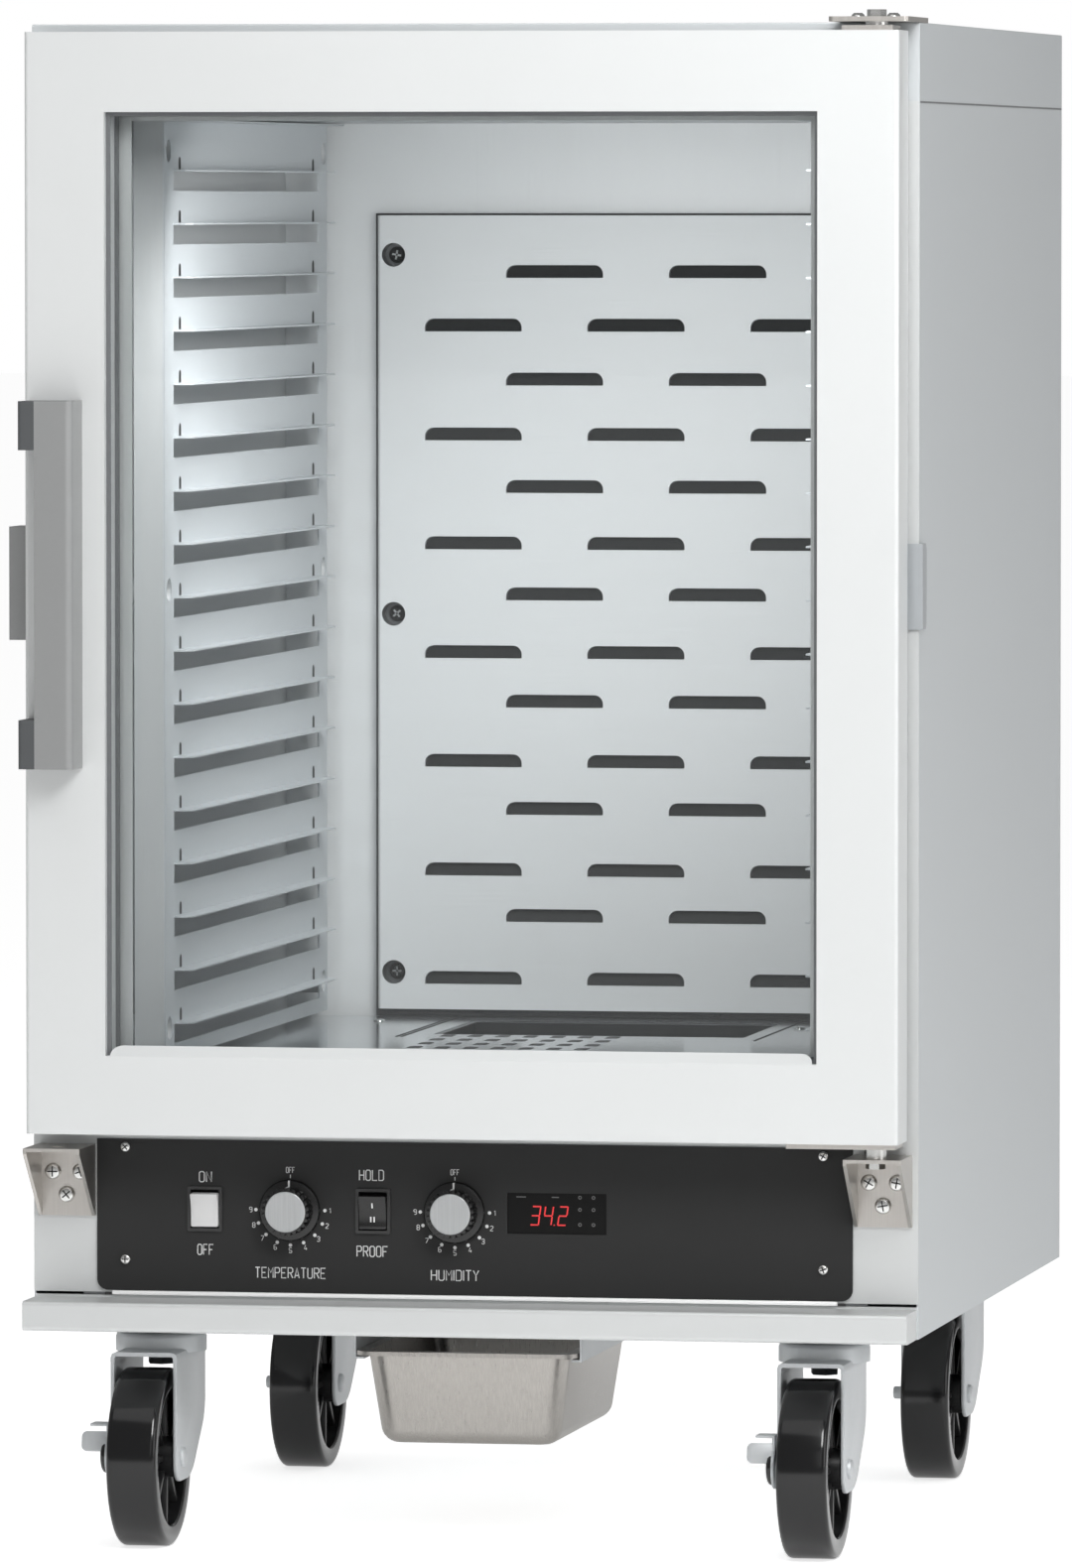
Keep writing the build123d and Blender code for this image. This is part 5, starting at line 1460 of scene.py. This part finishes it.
@dataclass
class ControlPanel:
    """The printed words, dial scales and display of the control panel."""

    words: tuple[tuple[str, float, float, float, float], ...] = (
        ("ON", -192.7, 265.8, 9.5, 8.0), ("OFF", -192.7, 214.1, 12.0, 8.0),
        ("HOLD", -72.8, 268.5, 18.1, 8.0), ("PROOF", -72.3, 214.5, 22.7, 8.0),
        ("TEMPERATURE", -131.35, 198.4, 51.3, 8.0), ("HUMIDITY", -12.8, 198.4, 34.8, 8.0))
    dials: Span = (-131.3, -12.8)
    dial_z: float = 243.0
    off_z: float = 271.4
    off_size: Span = (6.5, 4.4)
    tick: float = 0.3
    tick_rise: Span = (265.6, 268.1)
    numbers: int = 9
    number_angle: float = 22.5
    number_radius: float = 28.6
    number_size: Span = (2.4, 3.9)
    one_width: float = 1.2
    fine_stroke: float = 0.5
    dot_radius: float = 24.9
    dot: float = 1.25
    dot_steps: int = 20
    sink: float = 0.1
    digit_size: Span = (6.6, 14.0)
    digit_foot: float = 234.4
    digit_stroke: float = 1.0
    digit_gap: float = 0.5
    digit_sink: float = 0.2
    lean: float = 0.14
    digits: tuple[tuple[str, float], ...] = (("abgcd", 40.5), ("fgbc", 49.6), ("abged", 60.0))
    point: tuple[Span, Span] = ((57.6, 58.5), (234.4, 235.3))
    key_columns: Span = (76.5, 86.2)
    key_rows: tuple[float, ...] = (254.6, 246.0, 235.4)
    key_ring: Span = (0.7, 1.3)
    key_sink: float = 0.05
    bars: tuple[Span, ...] = ((34.4, 3.4), (58.8, 2.6))
    bar_rise: Span = (254.2, 254.9)

    def build(self) -> None:
        """Prints the panel and fills the display."""
        face = front_of("control_panel")
        ink = Form()
        for text, x, z, width, height in self.words:
            ink.join(lettering(text, (x, z), (width, height), face))
        for dial in self.dials:
            ink.join(self.scale(dial, face))
        ink.piece("panel_print", PALE_INK, "cabinet", "panel_black")
        self.add_digits()
        self.add_signs()

    def scale(self, dial: float, face: float) -> Form:
        """Prints one dial's scale.

        Args:
            dial: The dial's middle, to the side.
            face: The depth of the panel's face.

        Returns:
            Its OFF mark, numbers and dots.
        """
        form = lettering("OFF", (dial, self.off_z), self.off_size, face, self.fine_stroke)
        form.box(around(dial, self.tick), (face - INK, face + self.sink), self.tick_rise)
        for number in range(1, self.numbers + 1):
            angle = math.radians(self.number_angle * (number - 1))
            x, z = math.cos(angle), -math.sin(angle)
            place = (dial + self.number_radius * x, self.dial_z + self.number_radius * z)
            size = (self.one_width if number == 1 else self.number_size[0], self.number_size[1])
            form.join(lettering(str(number), place, size, face, self.fine_stroke))
            spot = (dial + self.dot_radius * x, face, self.dial_z + self.dot_radius * z)
            form.disc((-self.sink, INK), self.dot, spot, TO_VIEWER, self.dot_steps)
        return form

    def digit(self, lit: str, left: float, face: float) -> Form:
        """Makes one lit seven-segment digit.

        Args:
            lit: The letters of its lit segments.
            left: Its left edge.
            face: The depth of the display's face.

        Returns:
            The digit, leaning to the right.
        """
        form = Form()
        width, height = self.digit_size
        low, stroke, gap = self.digit_foot, self.digit_stroke, self.digit_gap
        middle, top, right = low + height / 2, low + height, left + width
        flat = {"a": (top - stroke, top), "g": around(middle, stroke / 2), "d": (low, low + stroke)}
        upright = {"f": ((left, left + stroke), (middle, top)),
                   "b": ((right - stroke, right), (middle, top)),
                   "e": ((left, left + stroke), (low, middle)),
                   "c": ((right - stroke, right), (low, middle))}
        for name in lit:
            if name in flat:
                x, z = (left + gap, right - gap), flat[name]
            else:
                x, (foot, head) = upright[name]
                z = (foot + gap, head - gap)
            form.box(x, (face - self.sink, face + self.digit_sink), z)
        for vertex in form.mesh.verts:
            vertex.co.x += (vertex.co.z - low) * self.lean
        return form

    def add_digits(self) -> None:
        """Adds the display's lit digits and their point."""
        glass = front_of("display_module")
        form = Form()
        for lit, start in self.digits:
            form.join(self.digit(lit, start, glass))
        across, rise = self.point
        form.box(across, (glass - self.sink, glass + self.digit_sink), rise)
        form.piece("display_digits", RED_DIGIT, "cabinet", "display")

    def add_signs(self) -> None:
        """Adds the printed signs of the display's keys."""
        glass = front_of("display_module")
        inner, outer = self.key_ring
        ring = [(-self.key_sink, inner), (-self.key_sink, outer), (INK, outer), (INK, inner)]
        form = Form()
        for column in self.key_columns:
            for row in self.key_rows:
                form.turning(ring, (column, glass, row), TO_VIEWER, self.dot_steps)
        for middle, reach in self.bars:
            form.box(around(middle, reach), (glass - INK, glass + self.sink), self.bar_rise)
        form.piece("display_signs", GREY_INK, "cabinet", "display")


@dataclass
class Wheel:
    """A caster wheel: a glossy tread round a ribbed black centre."""

    corner: str
    radius: float = 63.5
    width: float = 36.0
    shoulder: float = 4.0
    bend: tuple[float, ...] = (0.0, 0.35, 0.7, 1.05, 1.35, math.pi / 2)
    rim: float = 49.0
    tread_foot: tuple[Span, ...] = ((0.0, 2.6), (-0.5, 0.7), (-1.6, 0.0))
    rim_steps: tuple[Span, ...] = ((3.0, -1.5), (0.0, -4.0))
    hub: float = 15.0
    hub_foot: tuple[Span, ...] = ((0.0, 3.0), (3.0, 0.0))
    hub_edge: tuple[Span, ...] = ((-1.0, -0.6), (0.0, -1.6))
    hub_width: float = 41.6
    web: float = 5.0
    bore: float = 6.05
    spokes: int = 8
    spoke_width: float = 27.0
    spoke: float = 4.5
    spoke_edge: float = 0.8
    spoke_sink: Span = (-1.0, -0.5)
    tread_steps: int = 160
    core_steps: int = 96

    def build(self) -> None:
        """Builds the wheel on its own body."""
        node = f"wheel_{self.corner}"
        centre = tuple(middle_of(node))
        half, tyre = self.width / 2, self.radius
        side = [(half - self.shoulder * (1 - math.sin(t)), tyre - self.shoulder * (1 - math.cos(t)))
                for t in self.bend]
        side += [(half + out, self.rim + rise) for out, rise in self.tread_foot]
        tread = Form().turning([*self.mirrored(side), *side], centre, SIDEWAYS, self.tread_steps)
        tread.piece(f"{node}_tread", TYRE, node, "wheel_grey", (node,), smooth=40.0)
        web, hub = self.web / 2, self.hub_width / 2
        section = [(side[-1][0], self.rim), *[(web + out, self.rim + rise) for out, rise in self.rim_steps],
                   *[(web + out, self.hub + rise) for out, rise in self.hub_foot],
                   *[(hub + out, self.hub + rise) for out, rise in self.hub_edge], (hub, self.bore)]
        core = Form().turning([*section, *self.mirrored(section)], centre, SIDEWAYS, self.core_steps)
        reach = (centre[1] + self.hub + self.spoke_sink[0], centre[1] + self.rim + self.spoke_sink[1])
        for number in range(self.spokes):
            rib = Form().box(around(centre[0], self.spoke_width / 2), reach,
                             around(centre[2], self.spoke / 2), self.spoke_edge)
            core.join(rib.turn(number * 360 / self.spokes, SIDEWAYS, centre))
        core.piece(f"{node}_centre", RIM, node, "wheel_grey", (node,), smooth=40.0)

    @staticmethod
    def mirrored(profile: Outline) -> Outline:
        """Gives a profile's other half, in the opposite order."""
        return [(-along, radius) for along, radius in reversed(profile)]


@dataclass
class Fork:
    """A pressed steel fork with its crown and axle."""

    corner: str
    gap: float = 42.4
    sheet: float = 3.0
    boss: float = 17.0
    boss_share: float = 0.82
    trail: float = 43.0
    heel: float = 33.5
    heel_radius: float = 12.0
    back: float = 38.0
    top: float = 139.0
    lip: float = 7.0
    lip_edge: tuple[Span, ...] = ((0.0, -3.8), (-1.1, -1.1), (-3.8, 0.0))
    inner_edge: tuple[Span, ...] = ((0.0, -4.0), (-1.0, -3.0))
    edge: float = 0.7
    shoulder: float = 88.0
    bore: float = 6.05
    crown: float = 32.5
    crown_edge: tuple[Span, ...] = ((-4.0, 0.0), (-1.6, -1.0), (-0.4, -2.6), (0.0, -4.4))
    wheel_radius: float = 63.5
    through: float = 2.7
    sharp: float = 1.2
    rim_gap: float = 0.5
    crown_steps: int = 96
    boss_steps: int = 10
    bolt_steps: int = 40
    tail: tuple[Span, ...] = ((-8.0, 0.0), (-8.0, 3.9), (-7.2, 4.7), (0.0, 4.7), (0.0, 6.0))
    head: tuple[Span, ...] = ((0.0, 6.0), (0.0, 6.9), (0.4, 7.0), (2.2, 6.6), (3.0, 5.2), (3.0, 0.0))

    def build(self) -> None:
        """Builds the fork on its own body."""
        node, body = f"fork_{self.corner}", f"caster_{self.corner}"
        pin = pivot_of(body)
        outer, inner = self.gap / 2 + self.sheet, self.gap / 2
        front, back = pin.y - self.trail - self.boss, pin.y + self.back
        form = Form()
        for side in (-outer, inner):
            form.join(self.leg(pin, pin.x + side, front, back))
        lip = self.top - self.lip
        rise = [(outer + out, self.top + up) for out, up in self.lip_edge]
        fall = [(inner + out, self.top + up) for out, up in self.inner_edge]
        section = [(-outer, lip), *[(-x, z) for x, z in rise], *reversed(rise), (outer, lip), (inner, lip),
                   *fall, *[(-x, z) for x, z in reversed(fall)], (-inner, lip)]
        form.plate(section, SIDEWAYS, UPWARD, (pin.x, front, 0.0), front - back)
        base, crown = self.top - self.sheet - pin.z, limits_of(node)[1].z - pin.z
        edge = [(crown + up, self.crown + out) for up, out in self.crown_edge]
        dome = [(base, self.bore), (base, self.crown), *edge, (crown, self.bore), (base, self.bore)]
        form.turning(dome, tuple(pin), UPWARD, self.crown_steps)
        form.piece(f"{node}_pressing", ZINC, body, "zinc", (node,), smooth=40.0)
        axle = (pin.x, pin.y - self.trail, self.wheel_radius)
        profile = [*[(-outer + along, radius) for along, radius in self.tail],
                   *[(outer + along, radius) for along, radius in self.head]]
        bolt = Form().turning(profile, axle, SIDEWAYS, self.bolt_steps)
        bolt.piece(f"{node}_axle", ZINC, body, "zinc", (node,), smooth=35.0)

    def leg(self, pin: Vector, across: float, front: float, back: float) -> Form:
        """Makes one leg with a rounded outline.

        Args:
            pin: The kingpin's place.
            across: The leg's left face.
            front: The depth of its front edge.
            back: The depth of its back edge.

        Returns:
            The leg.
        """
        foot, head = self.wheel_radius - self.boss, self.top - self.lip
        outline = [(front, foot), (front, head), (back, head), (back, self.shoulder),
                   (pin.y - self.trail + self.heel, foot)]
        form = Form().plate(outline, INWARD, UPWARD, (across, 0.0, 0.0), self.sheet)
        low = [e for e in self.across(form) if abs(e.verts[0].co.z - foot) < NEAR]
        form.round_edges(low, self.boss * self.boss_share, self.boss_steps, True)
        heel = [e for e in self.across(form) if abs(e.verts[0].co.y - back) < NEAR
                and abs(e.verts[0].co.z - self.shoulder) < NEAR]
        form.round_edges(heel, self.heel_radius, CORNER_STEPS, True)
        rims = [e for e in form.mesh.edges if e.calc_face_angle(0.0) > self.sharp
                and min(v.co.z for v in e.verts) < head - self.rim_gap]
        form.round_edges(rims, self.edge, clamp=True)
        return form

    def across(self, form: Form) -> list[Any]:
        """Gives a leg's edges that run through its sheet."""
        return [e for e in form.mesh.edges if abs(e.verts[0].co.x - e.verts[1].co.x) > self.through]


@dataclass
class CasterPlates:
    """The four mounting plates with their bearing races, kingpins and nuts."""

    width: float = 68.0
    length: float = 95.0
    corner: float = 6.0
    plate: float = 3.0
    edge: float = 0.5
    race: float = 28.5
    race_edge: float = 0.8
    race_gap: float = 0.5
    nut: float = 10.3
    nut_height: float = 9.0
    nut_edge: float = 0.7
    nut_gap: float = 0.8
    pin: float = 6.0
    fork_under: float = 136.0
    race_steps: int = 80
    pin_steps: int = 32
    nut_sides: int = 6

    def build(self) -> None:
        """Builds the fixed halves of the casters."""
        top = limits_of("caster_plates")[1].z
        crown = limits_of("fork_front_left")[1].z + self.race_gap
        seat, under = top - self.plate, self.fork_under - self.nut_gap
        foot = under - self.nut_height
        x, y = self.width / 2, self.length / 2
        race = [(crown, 0.0), (crown, self.race - self.race_edge), (crown + self.race_edge, self.race),
                (seat, self.race), (seat, 0.0)]
        nut = [(foot, 0.0), (foot, self.nut - self.nut_edge), (foot + self.nut_edge, self.nut),
               (under, self.nut), (under, 0.0)]
        steel, nuts = Form(), Form()
        for joint in frame["joints"]:
            if not joint["child"].startswith("caster_"):
                continue
            pin = pivot_of(joint["child"])
            start = (pin.x, pin.y, 0.0)
            steel.plate([(-x, -y), (x, -y), (x, y), (-x, y)], SIDEWAYS, INWARD, (pin.x, pin.y, seat),
                        self.plate, self.corner, self.edge)
            steel.turning(race, start, UPWARD, self.race_steps)
            steel.disc((under, crown), self.pin, start, UPWARD, self.pin_steps)
            nuts.turning(nut, start, UPWARD, self.nut_sides)
        # Plates, races and kingpins in darker zinc: painted shade under the base.
        steel.piece("caster_races", SHADED_RACE_ZINC, "cabinet", "zinc", ("caster_plates",), smooth=35.0)
        nuts.piece("caster_nuts", MOTOR, "cabinet", "zinc", ("caster_plates",), smooth=20.0)


@dataclass
class BrakePedal:
    """A front wheel's brake pedal: a pressed plate with two tabs and a domed hub."""

    side: str
    sheet: float = 2.0
    edge: float = 0.4
    radius: float = 15.0
    bore: float = 4.75
    width: float = 16.0
    height: float = 23.5
    plate_drop: float = 0.6
    tread: float = 14.0
    tread_edge: float = 0.7
    dome: float = 4.5
    dome_radius: float = 12.5
    dome_foot: tuple[Span, ...] = ((-0.3, 0.0), (1.6, 0.0), (3.0, -0.7))
    dome_top: tuple[Span, ...] = ((-0.5, -2.4), (0.0, -4.4))
    dome_wall: float = 1.0
    cone: float = 5.4
    tab: Span = (20.0, 14.5)
    tab_corner: float = 4.0
    tab_rise: float = 3.5
    tab_edge: float = 0.5
    tab_tilt: float = -14.0
    steps: int = 56

    def build(self) -> None:
        """Builds the pedal on its own body."""
        node, body = f"brake_pedal_{self.side}", f"pedal_{self.side}"
        pivot, face = pivot_of(body), limits_of(node)[1].x
        origin = (face, pivot.y, pivot.z)
        sheet, edge, radius = self.sheet, self.edge, self.radius
        ring = [(0.0, self.bore), (0.0, radius - edge), (edge, radius), (sheet - edge, radius),
                (sheet, radius - edge), (sheet, self.dome_radius)]
        form = Form().turning(ring, origin, TO_LEFT, self.steps)
        across, top = around(pivot.y, self.width / 2), pivot.z + self.height
        form.box((face - sheet, face), across, (pivot.z, top - self.plate_drop), edge)
        form.box((face - self.tread, face), across, (top - sheet, top), self.tread_edge)
        foot = (face, across[0], pivot.z + self.tab_rise)
        tab = Form().plate(arch(*self.tab, self.tab_corner, Rounding.FAR), TO_LEFT, UPWARD, foot, -sheet,
                           edge=self.tab_edge)
        form.join(tab.turn(self.tab_tilt, SIDEWAYS, foot))
        form.piece(f"{node}_plate", ZINC, body, "zinc", (node,), smooth=35.0)
        peak = sheet + self.dome
        profile = [*[(sheet + rise, self.dome_radius + out) for rise, out in self.dome_foot],
                   *[(peak + rise, self.dome_radius + out) for rise, out in self.dome_top],
                   (peak, 0.0), (peak - self.dome_wall, 0.0), (self.cone, self.bore), (0.0, self.bore)]
        cap = Form().turning(profile, origin, TO_LEFT, self.steps)
        cap.piece(f"{node}_hub", GLOSS_BLACK, body, "zinc", (node,), smooth=40.0)


@dataclass
class DripPan:
    """The removable drip pan: a deep drawn tray with a turned-down rim."""

    sheet: float = 1.6
    rim: float = 8.7
    lip: float = 4.7
    taper: float = 7.8
    corner: float = 14.0
    corner_steps: int = 8
    foot: float = 9.0
    post: float = 10.0
    level: float = 0.01

    def build(self) -> None:
        """Builds the pan on its own body."""
        low, high = limits_of("drip_pan")
        form = Form().box((low.x + self.rim, high.x - self.rim), (low.y + self.rim, high.y - self.rim),
                          (low.z, high.z))
        lean = math.tan(math.radians(self.taper)) * (high.z - low.z)
        middle = (low + high) / 2
        for vertex in form.mesh.verts:
            if vertex.co.z < middle.z:
                vertex.co.x += lean if vertex.co.x < middle.x else -lean
                vertex.co.y += lean if vertex.co.y < middle.y else -lean
        posts = [e for e in form.mesh.edges if abs(e.verts[0].co.z - e.verts[1].co.z) > self.post]
        form.round_edges(posts, self.corner, self.corner_steps)
        bottom = [e for e in form.mesh.edges if all(v.co.z < low.z + self.level for v in e.verts)]
        form.round_edges(bottom, self.foot, CORNER_STEPS)
        lid = [f for f in form.mesh.faces if all(v.co.z > high.z - self.level for v in f.verts)]
        bmesh.ops.delete(form.mesh, geom=lid, context="FACES_ONLY")
        flange = self.spread(form, [e for e in form.mesh.edges if e.is_boundary], middle)
        self.drop(form, flange)
        bmesh.ops.recalc_face_normals(form.mesh, faces=list(form.mesh.faces))
        bmesh.ops.solidify(form.mesh, geom=list(form.mesh.faces), thickness=self.sheet)
        bmesh.ops.recalc_face_normals(form.mesh, faces=list(form.mesh.faces))
        form.piece("drip_pan_tray", PAN_STEEL, "drip_pan", "stainless", ("drip_pan",), smooth=40.0)

    def spread(self, form: Form, mouth: list[Any], middle: Vector) -> list[Any]:
        """Turns the mouth's edge outward into a flange.

        Args:
            form: The pan.
            mouth: The edges of the mouth.
            middle: The pan's middle.

        Returns:
            The flange's outer edges.
        """
        made = bmesh.ops.extrude_edge_only(form.mesh, edges=mouth)["geom"]
        for vertex in (g for g in made if isinstance(g, bmesh.types.BMVert)):
            vertex.co.x += math.copysign(self.rim, vertex.co.x - middle.x)
            vertex.co.y += math.copysign(self.rim, vertex.co.y - middle.y)
        return [g for g in made if isinstance(g, bmesh.types.BMEdge)]

    def drop(self, form: Form, flange: list[Any]) -> None:
        """Turns the flange's edge down.

        Args:
            form: The pan.
            flange: The flange's outer edges.
        """
        made = bmesh.ops.extrude_edge_only(form.mesh, edges=flange)["geom"]
        verts = [g for g in made if isinstance(g, bmesh.types.BMVert)]
        bmesh.ops.translate(form.mesh, vec=(0.0, 0.0, self.sheet - self.lip), verts=verts)


@dataclass
class Studio:
    """The white studio: floor, soft lights and the photograph's camera."""

    camera_place: Point = (1.65103, -9.04606, 0.95532)
    camera_ahead: Point = (-0.180626, 0.982475, -0.046014)
    lens: float = 289.9
    sensor: float = 36.0
    sight: float = 100.0
    floor_size: float = 60.0
    ambient: float = 0.27
    floor_glow: float = 0.72
    floor_light: float = 0.35
    chamber_spread: float = 2.4
    hidden_in_gloss: tuple[str, ...] = ("chamber", "top")
    lights: tuple[tuple[str, Point, Point, Span, float], ...] = (
        ("front", (1.6, -8.0, 2.6), (0.0, 0.0, 0.6), (3.0, 3.0), 16.0),
        ("above", (-0.65, -2.0, 3.3), (-0.1, -0.3, 0.5), (2.4, 1.5), 9.0),
        ("upper_right", (0.9, -2.1, 1.9), (0.3, -0.3, 0.85), (1.0, 1.0), 43.0),
        ("top", (-0.3, -0.3, 3.2), (0.0, 0.0, 0.5), (2.4, 2.4), 30.0),
        ("right", (4.5, -1.2, 1.4), (0.0, 0.0, 0.6), (2.4, 2.4), 31.0),
        ("chamber", (0.02, -0.281, 0.942), (0.0, 0.259, 0.542), (0.4, 0.15), 2.5))

    def build(self) -> None:
        """Sets up the world, the floor, the lights and the camera."""
        scene = bpy.context.scene
        scene.view_settings.view_transform = "Standard"
        self.light_world(scene)
        self.lay_floor()
        for name, place, target, size, power in self.lights:
            self.add_light(name, place, target, size, power)
        self.aim_camera(scene)

    def light_world(self, scene: bpy.types.Scene) -> None:
        """Makes a world that is white to the camera and softer as light.

        Args:
            scene: The scene.
        """
        world = bpy.data.worlds.new("studio")
        scene.world = world
        world.use_nodes = True
        network = Network(world.node_tree)
        white = (1.0, 1.0, 1.0, 1.0)
        seen = network.node("ShaderNodeLightPath", {}, {}, "Is Camera Ray")
        glow = network.node("ShaderNodeBackground", {}, {"Color": white, "Strength": self.ambient})
        backdrop = network.node("ShaderNodeBackground", {}, {"Color": white})
        mixed = network.node("ShaderNodeMixShader", {}, {0: seen, 1: glow, 2: backdrop})
        output = network.tree.nodes.new("ShaderNodeOutputWorld")
        network.feed(output.inputs["Surface"], mixed)

    def lay_floor(self) -> None:
        """Lays a plain pale floor."""
        mesh = bmesh.new()
        bmesh.ops.create_grid(mesh, x_segments=1, y_segments=1, size=self.floor_size)
        data = bpy.data.meshes.new("floor")
        mesh.to_mesh(data)
        mesh.free()
        floor = bpy.data.objects.new("floor", data)
        white = Backdrop("studio_floor", (0.93, 0.93, 0.93), 0.9, 0.0, glow=self.floor_glow,
                         light=self.floor_light)
        data.materials.append(white.material())
        bpy.context.scene.collection.objects.link(floor)

    def add_light(self, name: str, place: Point, target: Point, size: Span, power: float) -> None:
        """Adds a soft light.

        Args:
            name: The light's name.
            place: Where it stands.
            target: The point that it looks at.
            size: Its width and height.
            power: Its power in watts.
        """
        data = bpy.data.lights.new(name, "AREA")
        data.shape = "RECTANGLE"
        data.size, data.size_y = size
        data.energy = power
        if name == "chamber":
            data.spread = self.chamber_spread
        lamp = bpy.data.objects.new(name, data)
        lamp.location = place
        lamp.visible_camera = False
        lamp.visible_glossy = name not in self.hidden_in_gloss
        look = Vector(target) - Vector(place)
        lamp.rotation_euler = look.to_track_quat("-Z", "Y").to_euler()
        bpy.context.scene.collection.objects.link(lamp)

    def aim_camera(self, scene: bpy.types.Scene) -> None:
        """Places the photograph's camera.

        Args:
            scene: The scene.
        """
        data = bpy.data.cameras.new("photograph")
        data.sensor_fit = "VERTICAL"
        data.sensor_height = self.sensor
        data.lens = self.lens
        data.clip_end = self.sight
        camera = bpy.data.objects.new("photograph", data)
        camera.location = self.camera_place
        camera.rotation_euler = Vector(self.camera_ahead).to_track_quat("-Z", "Y").to_euler()
        scene.collection.objects.link(camera)
        scene.camera = camera


@dataclass
class Proofer:
    """The whole proofing cabinet as a list of sub-assemblies."""

    corners: tuple[str, ...] = ("front_left", "front_right", "rear_left", "rear_right")
    parts: list[Any] = field(default_factory=list)

    def gather(self) -> None:
        """Lists the sub-assemblies in the order that they are built."""
        self.parts = [SheetMetal(), PanelScrews(), HingeScrews(), DuctPanel(), SlideRacks(),
                      InteriorFloor(), FrameTrim(), Knob("temperature_knob"), Knob("humidity_knob"),
                      Rocker("power_rocker", WHITE_ROCKER, "rocker_white"),
                      Rocker("mode_rocker", GLOSS_BLACK, "knob_black", ("I", "II")), ControlPanel(),
                      DripPan(), CasterPlates()]
        for corner in self.corners:
            self.parts += [Fork(corner), Wheel(corner)]
        self.parts += [BrakePedal("left"), BrakePedal("right")]

    def build(self) -> None:
        """Builds every sub-assembly."""
        self.gather()
        for part in self.parts:
            log.info("building %s", type(part).__name__)
            part.build()


def main() -> None:
    """Dresses the cabinet and sets up the studio."""
    logging.basicConfig(level=logging.INFO, format="%(name)s: %(message)s")
    Proofer().build()
    Studio().build()


if __name__ == "__main__":
    main()
